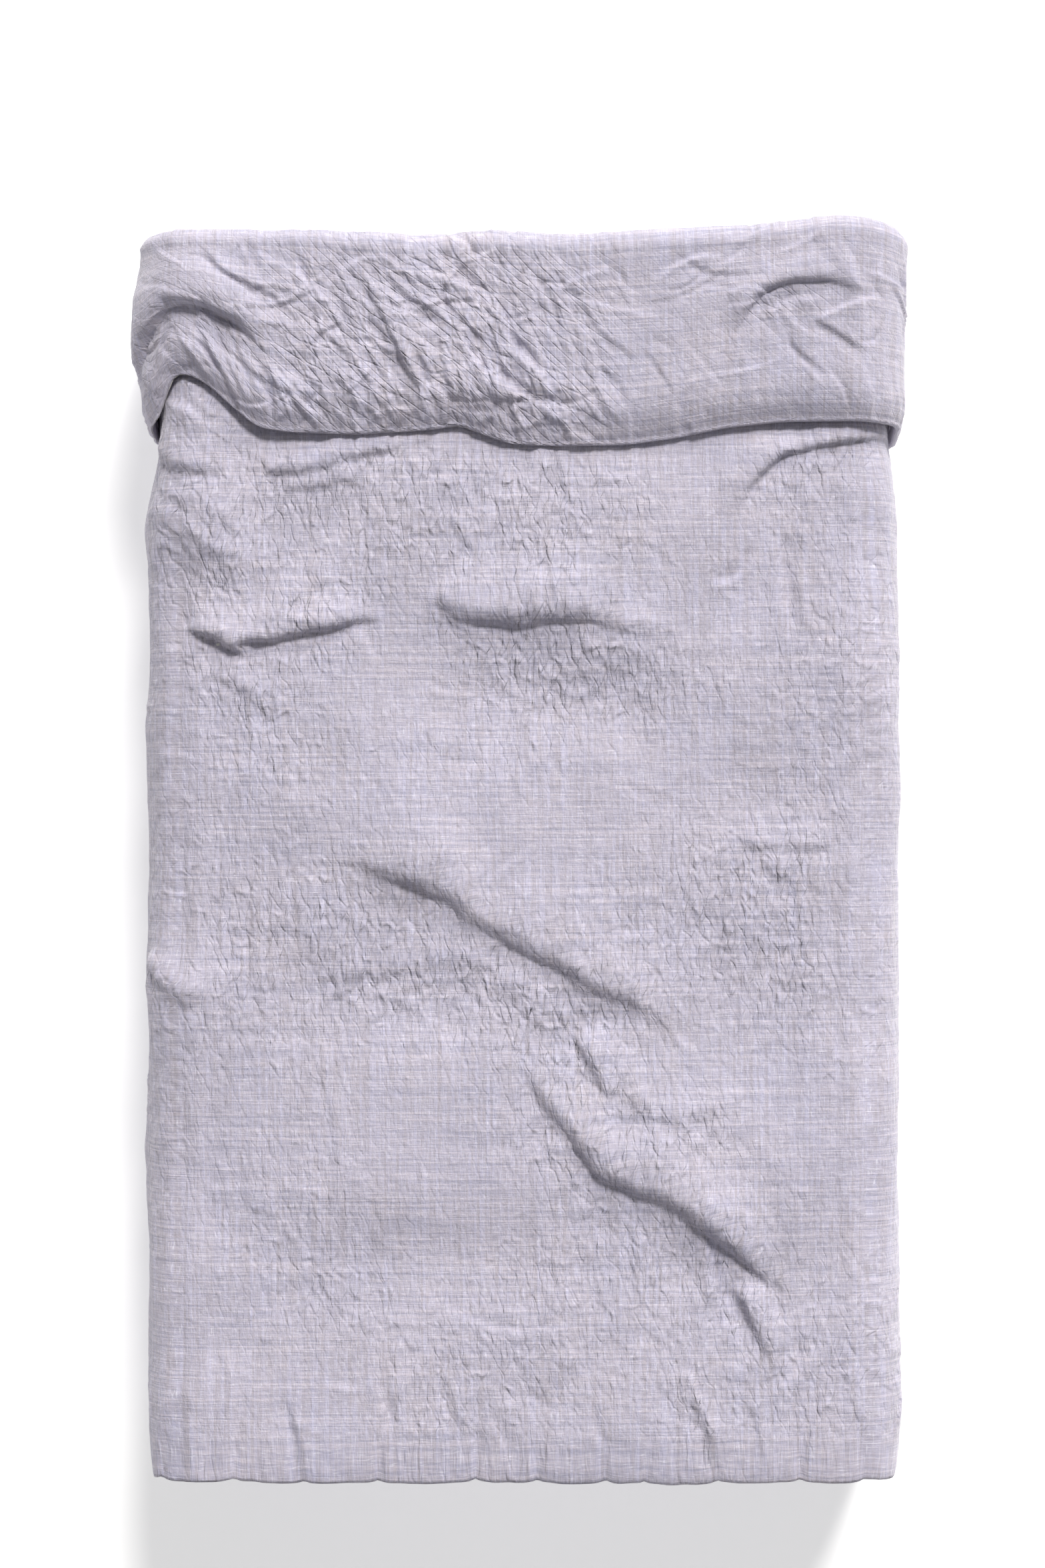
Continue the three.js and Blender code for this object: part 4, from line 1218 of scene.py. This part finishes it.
# ---- Settings ----
class DuvetSizes(bpy.types.PropertyGroup):
    """Sizes and colours of the duvet that a user might change."""

    body_grid: bpy.props.FloatProperty(
        name="Body grid", description="Spacing of the mesh over the body",
        default=4.5 * MM, unit="LENGTH")
    turned_grid: bpy.props.FloatProperty(
        name="Turned grid", description="Spacing of the mesh over the turned part",
        default=2.7 * MM, unit="LENGTH")
    thread_pitch: bpy.props.FloatProperty(
        name="Thread pitch", description="Distance between drawn threads of the linen",
        default=1.6 * MM, unit="LENGTH")
    stitch_pitch: bpy.props.FloatProperty(
        name="Stitch pitch", description="Distance from one stitch to the next",
        default=3.6 * MM, unit="LENGTH")
    thread_radius: bpy.props.FloatProperty(
        name="Thread radius", description="Radius of the sewing thread",
        default=0.28 * MM, unit="LENGTH")
    floor_glow: bpy.props.FloatProperty(
        name="Floor glow", description="Light given off by the studio floor", default=0.42)
    warp_colour: bpy.props.StringProperty(
        name="Warp colour", description="Lengthwise threads, as sRGB hex", default="#B2B0C6")
    weft_colour: bpy.props.StringProperty(
        name="Weft colour", description="Crosswise threads, as sRGB hex", default="#BFB7C1")
    slub_colour: bpy.props.StringProperty(
        name="Slub colour", description="Undyed fibres in the yarn, as sRGB hex", default="#DCDAE6")
    thread_colour: bpy.props.StringProperty(
        name="Thread colour", description="Sewing thread, as sRGB hex", default="#A9A3B4")


# ---- Pieces of the cover ----
BACK_GRID = 9 * MM  # spacing of the mesh under the body
EDGE_LINES = 17  # lines of the mesh round the free edge, the first one included


class DUVET_OT_cover_face(bpy.types.Operator):
    """Lay the cover's face panel over the body, with its folds and creases"""

    bl_idname = "duvet.cover_face"
    bl_label = "Cover face"

    def execute(self, context):
        cloth = body_cloth()
        s, t = cloth.s, cloth.t
        points = lay(s + cloth.slide[..., 0], t + cloth.slide[..., 1], loft_at(s, t) + cloth.rise)
        piece = sheet_piece("Cover_Face", points, "linen", np.stack([s, t], -1), cloth.density)
        settle(piece, "duvet_body", "linen_cover", "cover_face")
        return {"FINISHED"}


class DUVET_OT_cover_back(bpy.types.Operator):
    """Lay the cover's back panel under the body"""

    bl_idname = "duvet.cover_back"
    bl_label = "Cover back"

    def execute(self, context):
        cloth = Cloth(spaced([(-HALF_CLOTH, BACK_GRID), (HALF_CLOTH, 0)]),
                      spaced([(0, BACK_GRID), (BODY_LENGTH, 0)]))
        s, t = cloth.s, cloth.t
        edge = side_fullness(s) * fullness(t)
        cloth.rise = 1.6 * MM * edge * blur(cloth.facets(0.045, 2.0, 1.4, 91), 1)
        cloth.rise += 0.8 * MM * edge * cloth.facets(0.022, 1.6, 1.2, 92)
        piece = sheet_piece("Cover_Back", lay(s, t, np.abs(cloth.rise)), "linen",
                            np.stack([s, t], -1), 0.5 + 0 * s, back=True)
        settle(piece, "duvet_body", "linen_cover", "cover_back")
        return {"FINISHED"}


class DUVET_OT_cover_turned(bpy.types.Operator):
    """Fold the cover's head end over the body, with a plump free edge rolled under"""

    bl_idname = "duvet.cover_turned"
    bl_label = "Cover turned down"

    def execute(self, context):
        cloth = turned_cloth()
        s, t = cloth.s, cloth.t
        height = turned_top(s, t) - cloth.rise + droop(s, t)
        top = lay(s + cloth.slide[..., 0], t + cloth.slide[..., 1], height)
        # the free edge rounds over in half an oval, then the face panel runs back to the turn
        across, last = cloth.across, s[-1]
        top_h = turned_top(last, t[-1]) - cloth.rise[-1]
        end_t = t[-1] + cloth.slide[-1, :, 1]
        end_s = last + cloth.slide[-1, :, 0]
        calm = side_fullness(last)
        rows = []
        for angle in np.linspace(0, math.pi, EDGE_LINES)[1:]:
            middle, half = (TURN_LOFT + top_h) / 2, (TURN_LOFT - top_h) / 2
            out = EDGE_ROLL * math.sin(angle) ** 0.9 * mix(0.5, 1, calm)
            depth = middle - half * math.cos(angle) + droop(last, CLOTH_LENGTH)
            rows.append(lay(end_s, end_t + out, depth))
        back = spaced([(0, 0.07), (1, 0)])[1:]
        for share in back:
            place = mix(end_t, TURN_START, share)
            rows.append(lay(last, place, TURN_LOFT + droop(last, place)))
        for share in (0.34, 0.67, 1.0):
            inner = mix(TURN_START, BODY_LENGTH, share)
            rows.append(lay(last, inner, full_loft(inner) + 0 * last))
        points = np.concatenate([top, np.stack(rows)])
        # the pattern of the weave runs on, about as far from line to line as the cloth does
        step = cloth.along[-1] + 3.5 * MM * np.arange(1, EDGE_LINES)
        run = step[-1] + TURN_LENGTH * back
        lines = np.concatenate([cloth.along, step, run, run[-1] + 16 * MM * np.arange(1, 4)])
        uv = np.stack(np.meshgrid(across, lines), -1)
        density = np.concatenate([cloth.density, np.repeat(cloth.density[-1:], len(rows), 0)])
        piece = sheet_piece("Cover_Turned_Down", points, "linen_turned", uv, density, back=True)
        settle(piece, TURN_BODY, "linen_cover", "cover_back_fold", "cover_back_turned",
               "cover_face_turned")
        return {"FINISHED"}


class DUVET_OT_seams(bpy.types.Operator):
    """Close the cover's sides, foot corners and head with flat seams"""

    bl_idname = "duvet.seams"
    bl_label = "Seams"

    def execute(self, context):
        outer = HALF_CLOTH + SEAM_WIDTH
        thick = SEAM_THICKNESS

        def under(s, t):
            return turned(t) * (full_loft(t) - thick) + 0 * s

        def over(s, t):
            return under(s, t) + thick

        for word, side in (("Left", -1), ("Right", 1)):
            across = (*sorted((side * (HALF_CLOTH - 1 * MM), side * outer)), 5)
            corner = (*sorted((side * OPENING / 2, side * HALF_CLOTH)), 60)
            for name, wide, long, body in (
                (f"Side_Seam_{word}", across, (0, BODY_LENGTH, 220), "duvet_body"),
                (f"Side_Seam_{word}_Turned", across, (BODY_LENGTH, CLOTH_LENGTH - 4 * MM, 50),
                 TURN_BODY),
                (f"Foot_Seam_{word}", corner, (-SEAM_WIDTH, 1 * MM, 5), "duvet_body"),
            ):
                piece = strip_piece(name, wide, long, under, over, "linen")
                settle(piece, body, "linen_cover", name.lower())

        # the head seam is tucked under the free edge
        def tucked(s, t, h):
            return lay(s, t, TURN_LOFT + h + droop(s, t))

        tail = CLOTH_LENGTH - 22 * MM
        piece = strip_piece("Head_Seam", (-HALF_CLOTH, HALF_CLOTH, 260),
                            (tail - SEAM_WIDTH, tail, 4), lambda s, t: -0.2 * MM + 0 * s,
                            lambda s, t: 1.5 * MM + 0 * s, "linen", tucked, 0.7 * MM)
        settle(piece, TURN_BODY, "linen_cover", "head_seam_turned")
        return {"FINISHED"}


class DUVET_OT_foot_opening(bpy.types.Operator):
    """Hem the foot opening: an inner and an outer hem that turn down over the foot"""

    bl_idname = "duvet.foot_opening"
    bl_label = "Foot opening"

    def execute(self, context):
        half = OPENING / 2
        hems = {
            "Placket_Inner": ("placket_back", 0.0, "duvet_body"),
            "Placket_Outer": ("placket_face", FLAP_START, "closure_flap"),
        }
        for name, (node, inside, body) in hems.items():
            def under(s, t):
                return inside + 0.12 * MM * (1 + np.sin(s * 900)) * ease((-t - 0.030) / 0.006)

            def over(s, t):
                return inside + PLACKET_CLOTH + 0 * s

            piece = strip_piece(name, (-half, half, 150), (-PLACKET_DEPTH, 0, 22), under, over,
                                "linen", over_foot, 0.6 * MM)
            settle(piece, body, "linen_cover", node)
        return {"FINISHED"}


class DUVET_OT_stitching(bpy.types.Operator):
    """Sew every seam and hem with visible stitches"""

    bl_idname = "duvet.stitching"
    bl_label = "Stitching"

    def execute(self, context):
        along = np.linspace(4 * MM, BODY_LENGTH - 4 * MM, 240)
        past = np.linspace(TURN_START, CLOTH_LENGTH - 20 * MM, 60)
        half = OPENING / 2
        outside = FLAP_START + PLACKET_CLOTH
        body, turned_part, flap = [], [], []
        for side in (-1, 1):
            seam = side * (HALF_CLOTH + SEAM_WIDTH / 2)
            body.append(seam_path(seam, along, SEAM_THICKNESS))
            body.append(seam_path(seam, along, 0.0, side=-1))
            turned_part.append(seam_path(seam, past, TURN_LOFT - SEAM_THICKNESS, side=-1))
            corner = np.linspace(side * (half + 4 * MM), side * (HALF_CLOTH - 4 * MM), 90)
            body.append(seam_path(corner, -SEAM_WIDTH / 2, SEAM_THICKNESS))
        width = np.linspace(-half + 3 * MM, half - 3 * MM, 160)
        for inset in (5 * MM, PLACKET_DEPTH - 3.6 * MM):
            flap.append(seam_path(width, -inset, outside, over_foot))
            body.append(seam_path(width, -inset, 0.0, over_foot, side=-1))
        for x in (-half + 3 * MM, half - 3 * MM):
            rows = np.linspace(-5 * MM, -PLACKET_DEPTH + 4 * MM, 16)
            flap.append(seam_path(x, rows, outside, over_foot))
        for name, paths, carrier in (
            ("Stitches_Body", body, "duvet_body"),
            ("Stitches_Turned", turned_part, TURN_BODY),
            ("Stitches_Flap", flap, "closure_flap"),
        ):
            settle(stitched(name, paths), carrier, "linen_cover")
        return {"FINISHED"}


# ---- The press studs, ties and label ----
class DUVET_OT_studs(bpy.types.Operator):
    """Turn the press studs: a ball half on the inner hem, a socket half on the outer one"""

    bl_idname = "duvet.studs"
    bl_label = "Press studs"

    def execute(self, context):
        # profiles are (radius, depth) in millimetres
        radius = (ball_high.x - ball_low.x) / 2 / MM
        depth = (ball_high.y - ball_low.y) / MM
        wall = (socket_high.y - socket_low.y) / MM
        ball = [
            (0, 0.05), (radius * 0.55, 0), (radius - 0.35, 0), (radius - 0.08, 0.1),
            (radius, 0.28), (radius - 0.08, 0.48), (radius - 0.4, 0.6), (radius * 0.6, 0.52),
            (2.5, 0.5), (2.0, 0.62), (1.72, 0.85), (1.78, 1.05), (1.98, 1.2), (1.9, 1.36),
            (1.6, 1.46), (0.9, depth), (0, depth),
        ]
        socket = [
            (0, 0.92), (2.0, 0.92), (2.28, 0.8), (2.2, 0.55), (2.3, 0.3), (2.45, 0.1),
            (2.8, 0.02), (3.2, 0.14), (radius - 0.9, 0.16), (radius - 0.4, 0.0),
            (radius - 0.08, 0.15), (radius, 0.5), (radius - 0.1, 0.85), (radius - 0.5, 1.05),
            (3.1, 1.0), (2.6, wall), (0, wall),
        ]
        for i in range(1, 6):
            for name, node, profile, body in (
                ("Stud_Ball", "stud_ball", ball, "duvet_body"),
                ("Stud_Socket", "stud_socket", socket, "closure_flap"),
            ):
                low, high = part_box(f"{node}_{i}")
                centre = ((low.x + high.x) / 2, high.y, (low.z + high.z) / 2)
                piece = lathe(f"{name}_{i}", profile, centre, "nickel")
                settle(piece, body, "stud_metal", f"{node}_{i}")
        return {"FINISHED"}


class DUVET_OT_trim(bpy.types.Operator):
    """Sew in the corner ties that hold the insert, and the blank care label"""

    bl_idname = "duvet.trim"
    bl_label = "Ties and label"

    def execute(self, context):
        length, width, thick = 90 * MM, 8 * MM, 0.8 * MM
        inner = HALF_CLOTH - SHELL_MARGIN + 1 * MM
        last = CLOTH_LENGTH - SHELL_MARGIN
        for end, along, place, body in (
            ("Foot", (SHELL_MARGIN, SHELL_MARGIN + length), lay_body, "duvet_body"),
            ("Head", (last - length, last - 14 * MM), lay_turned, TURN_BODY),
        ):
            for word, side in (("Left", -1), ("Right", 1)):
                def low(s, t):
                    return 0.5 - 0.5 * thick / loft_at(s, t) + 0.06 * np.sin(t * 120)

                def high(s, t):
                    return low(s, t) + thick / loft_at(s, t)

                across = (*sorted((side * inner, side * (inner + width))), 4)
                name = f"Corner_Tie_{end}_{word}"
                piece = strip_piece(name, across, (*along, 30), low, high, "tape", place, 0.6 * MM)
                settle(piece, body, "cotton_tape", name.lower())

        thin = label_high.y - label_low.y

        def hung(s, t, h):
            """Down from the seam: t is the drop, and the ribbon curls a little to one side."""
            s, t, h = np.broadcast_arrays(s, t, h)
            curl = 2.2 * MM * (1 - np.cos(t / 0.042 * 1.7)) * (0.6 + 0.4 * np.sin(s * 90))
            return np.stack([s, label_high.y - h - curl, label_high.z - t], -1)

        piece = strip_piece("Care_Label", (label_low.x, label_high.x, 14),
                            (0, label_high.z - label_low.z, 20), lambda s, t: 0 * s,
                            lambda s, t: thin * 0.6 + 0 * s, "satin", hung, 0.3 * MM)
        clean(piece.data)
        settle(piece, "duvet_body", "label_satin", "care_label")
        return {"FINISHED"}


# ---- The insert ----
CASING_GRID, CASING_TURNED_GRID = 11 * MM, 8 * MM
CASING_GAP = 2.6 * MM  # how far inside the cover the insert's shell lies
BODY_QUILTING, TURNED_QUILTING = 5 * MM, 2.5 * MM  # how much further in it is drawn by quilting
QUILT_WIDTH = 16 * MM  # how wide a quilted line's dip is
UNCROSSED = 10.0  # a row longer than the duvet, so that no line crosses the turned part
CASING_CRUMPLE = 0.3
PAD_EDGE, PAD_ROUND = 40 * MM, 50 * MM  # border of a pad with a fine mesh, and its rounding


class DUVET_OT_insert_shell(bpy.types.Operator):
    """Lay the insert's own shell inside the cover, quilted into pockets"""

    bl_idname = "duvet.insert_shell"
    bl_label = "Insert shell"

    def execute(self, context):
        width = HALF_CLOTH - SHELL_MARGIN
        across = spaced([(-width, CASING_GRID), (width, 0)])
        along = spaced([(SHELL_MARGIN, CASING_GRID), (BODY_LENGTH, 0)])
        s, t = np.meshgrid(across, along)
        depth = loft_at(s, t)
        # each panel lies just inside the cover and dips to the other along the quilting
        drawn = quilt_depth(s, t, BODY_LENGTH / POCKETS[1])
        gap = np.minimum(CASING_GAP + BODY_QUILTING * drawn, depth * 0.42)
        for name, node, share, back in (
            ("Insert_Casing_Face", "insert_shell_face", 1 - gap / depth, False),
            ("Insert_Casing_Back", "insert_shell_back", gap / depth, True),
        ):
            piece = sheet_piece(name, lay_body(s, t, share), "percale", np.stack([s, t], -1),
                                CASING_CRUMPLE + 0 * s, back)
            settle(piece, "duvet_body", "insert_shell", node)

        # the turned end: outside, round its edge, and back along the body
        outer = spaced([(BODY_LENGTH, CASING_TURNED_GRID), (CLOTH_LENGTH - EDGE_ROLL - 6 * MM, 0)])
        s, t = np.meshgrid(across, outer)
        drawn = quilt_depth(s, t, UNCROSSED)
        gap = (CASING_GAP + TURNED_QUILTING * drawn) / full_loft(t)
        rows = [lay_turned(s, t, gap)]
        end = t[-1]
        for angle in np.linspace(0, math.pi, 9)[1:-1]:
            share = mix(0.16, 0.86, (1 - math.cos(angle)) / 2)
            rows.append(lay_turned(s[-1:], end + 12 * MM * math.sin(angle), share + 0 * s[-1:]))
        rows.append(lay_turned(s[::-1], t[::-1], 1 - gap[::-1]))
        points = np.concatenate(rows)
        lines = BODY_LENGTH + np.arange(len(points)) * CASING_TURNED_GRID
        uv = np.stack(np.meshgrid(across, lines), -1)
        piece = sheet_piece("Insert_Casing_Turned_Down", points, "percale", uv,
                            CASING_CRUMPLE + 0 * uv[..., 0], back=True)
        settle(piece, TURN_BODY, "insert_shell", "insert_shell_back_turned",
               "insert_shell_face_turned", "insert_fold")
        return {"FINISHED"}


def quilt_depth(s, t, pitch):
    """How far the quilting draws the shell in: 1 along its lines, 0 in the pockets."""
    column = 2 * HALF_CLOTH / POCKETS[0]
    to_line = np.abs((s / column + 0.5 * POCKETS[0] + 0.5) % 1 - 0.5) * column
    to_row = np.abs((t / pitch + 0.5) % 1 - 0.5) * pitch
    return np.exp(-np.minimum(to_line, to_row) / QUILT_WIDTH)


class DUVET_OT_filling(bpy.types.Operator):
    """Stuff each quilted pocket with its own pad of wadding"""

    bl_idname = "duvet.filling"
    bl_label = "Filling"

    def execute(self, context):
        columns, rows = POCKETS
        column, row = 2 * HALF_CLOTH / columns, BODY_LENGTH / rows
        gap = POCKET_GAP / 2
        edge = HALF_CLOTH - FILL_MARGIN
        # (name, range along the cloth, its map, thinnest share, seed, body, how full)
        parts = [
            (j + 1, (max(FILL_MARGIN, j * row + gap), (j + 1) * row - gap), lay_body, 0.16,
             100 + 10 * j, "duvet_body", 0.5)
            for j in range(rows)
        ]
        parts.append(("Turned", (BODY_LENGTH + 4 * MM, CLOTH_LENGTH - EDGE_ROLL - 4 * MM),
                      lay_turned, 0.27, 200, TURN_BODY, 0.4))
        for part, along, place, thinnest, seed, body, fill in parts:
            for i in range(columns):
                left = max(-edge, -HALF_CLOTH + i * column + gap)
                right = min(edge, -HALF_CLOTH + (i + 1) * column - gap)
                name = f"Fill_Pocket_{part}_{i + 1}"
                pad = pocket_pad(name, (left, right), along, place, thinnest, seed + i)
                settle(pad, body, "fibre_fill", name.lower())
        return {"FINISHED"}


def pocket_pad(name, across, along, place, thinnest, seed):
    """A crowned pad of wadding: full in the middle, pinched to nothing at its sewn border."""
    s_lines = rounded(across[0], across[1], PAD_EDGE, 12)
    t_lines = rounded(along[0], along[1], PAD_EDGE, 16)

    def crown(s, t):
        lumps = 0.9 + 0.1 * wandering(s, t, 0.05, seed)
        wide, long = edge_round(s, *across, PAD_ROUND), edge_round(t, *along, PAD_ROUND)
        return np.minimum(wide, long) * lumps

    return closed_piece(
        name, s_lines, t_lines,
        lambda s, t: 0.5 - (0.5 - thinnest) * crown(s, t),
        lambda s, t: 0.5 + (0.5 - thinnest) * crown(s, t),
        "wadding", place,
    )

# ---- The stage ----
FLOOR_REACH = 6.0  # half of the floor's width
SKY = 0.29  # strength of the even light from all round
SUN_COLOUR = "#FFFDFA"
# Soft suns: the name, the way to it, its strength and its spread in degrees.
SUNS = [("Key", (0.26, 0.84, 0.90), 2.9, 16), ("Low_Key", (0.38, 1.0, 0.45), 1.45, 14)]
LENS = 73  # millimetres
CAMERA_Y, CAMERA_HEIGHT = 0.095, 4.2  # it looks straight down from so far over the duvet


class DUVET_OT_stage(bpy.types.Operator):
    """Set the studio: a floor, soft suns and a camera straight above"""

    bl_idname = "duvet.stage"
    bl_label = "Stage"

    def execute(self, context):
        scene = context.scene
        ends = (-FLOOR_REACH, FLOOR_REACH)
        corners = [(x, y, 0) for y in ends for x in ends]
        floor = mesh_piece("Floor", corners, [(0, 1, 3, 2)], "paper")

        world = bpy.data.worlds.new("Studio")
        world.use_nodes = True
        background = world.node_tree.nodes["Background"]
        background.inputs["Color"].default_value = linear("#FFFFFF")
        background.inputs["Strength"].default_value = SKY
        scene.world = world

        for name, aim, power, softness in SUNS:
            light = bpy.data.lights.new(name, "SUN")
            light.energy = power
            light.angle = math.radians(softness)
            light.color = linear(SUN_COLOUR)[:3]
            lamp = bpy.data.objects.new(name, light)
            lamp.location = Vector(aim) * 3
            lamp.rotation_euler = (-Vector(aim)).to_track_quat("-Z", "Y").to_euler()
            scene.collection.objects.link(lamp)

        data = bpy.data.cameras.new("Camera")
        data.lens = LENS
        camera = bpy.data.objects.new("Camera", data)
        camera.location = (0, CAMERA_Y, cad_high.z + CAMERA_HEIGHT)
        scene.collection.objects.link(camera)
        scene.camera = camera
        scene.view_settings.view_transform = "Standard"
        return {"FINISHED"}


class DUVET_PT_panel(bpy.types.Panel):
    """Lists the duvet's pieces in the 3D view's sidebar"""

    bl_label = "Duvet"
    bl_space_type = "VIEW_3D"
    bl_region_type = "UI"
    bl_category = "Duvet"

    def draw(self, context):
        sizes = context.scene.duvet_sizes
        for name in DuvetSizes.__annotations__:
            self.layout.prop(sizes, name)
        for operator in OPERATORS:
            self.layout.operator(operator.bl_idname)


OPERATORS = (
    DUVET_OT_stage,
    DUVET_OT_cover_face,
    DUVET_OT_cover_back,
    DUVET_OT_cover_turned,
    DUVET_OT_seams,
    DUVET_OT_foot_opening,
    DUVET_OT_stitching,
    DUVET_OT_studs,
    DUVET_OT_trim,
    DUVET_OT_insert_shell,
    DUVET_OT_filling,
)
CLASSES = (DuvetSizes, *OPERATORS, DUVET_PT_panel)


def register():
    for each in CLASSES:
        bpy.utils.register_class(each)
    bpy.types.Scene.duvet_sizes = bpy.props.PointerProperty(type=DuvetSizes)


def unregister():
    del bpy.types.Scene.duvet_sizes
    for each in reversed(CLASSES):
        bpy.utils.unregister_class(each)


def main():
    register()
    bpy.ops.duvet.stage()
    bpy.ops.duvet.cover_face()
    bpy.ops.duvet.cover_back()
    bpy.ops.duvet.cover_turned()
    bpy.ops.duvet.seams()
    bpy.ops.duvet.foot_opening()
    bpy.ops.duvet.stitching()
    bpy.ops.duvet.studs()
    bpy.ops.duvet.trim()
    bpy.ops.duvet.insert_shell()
    bpy.ops.duvet.filling()


if __name__ == "__main__":
    main()
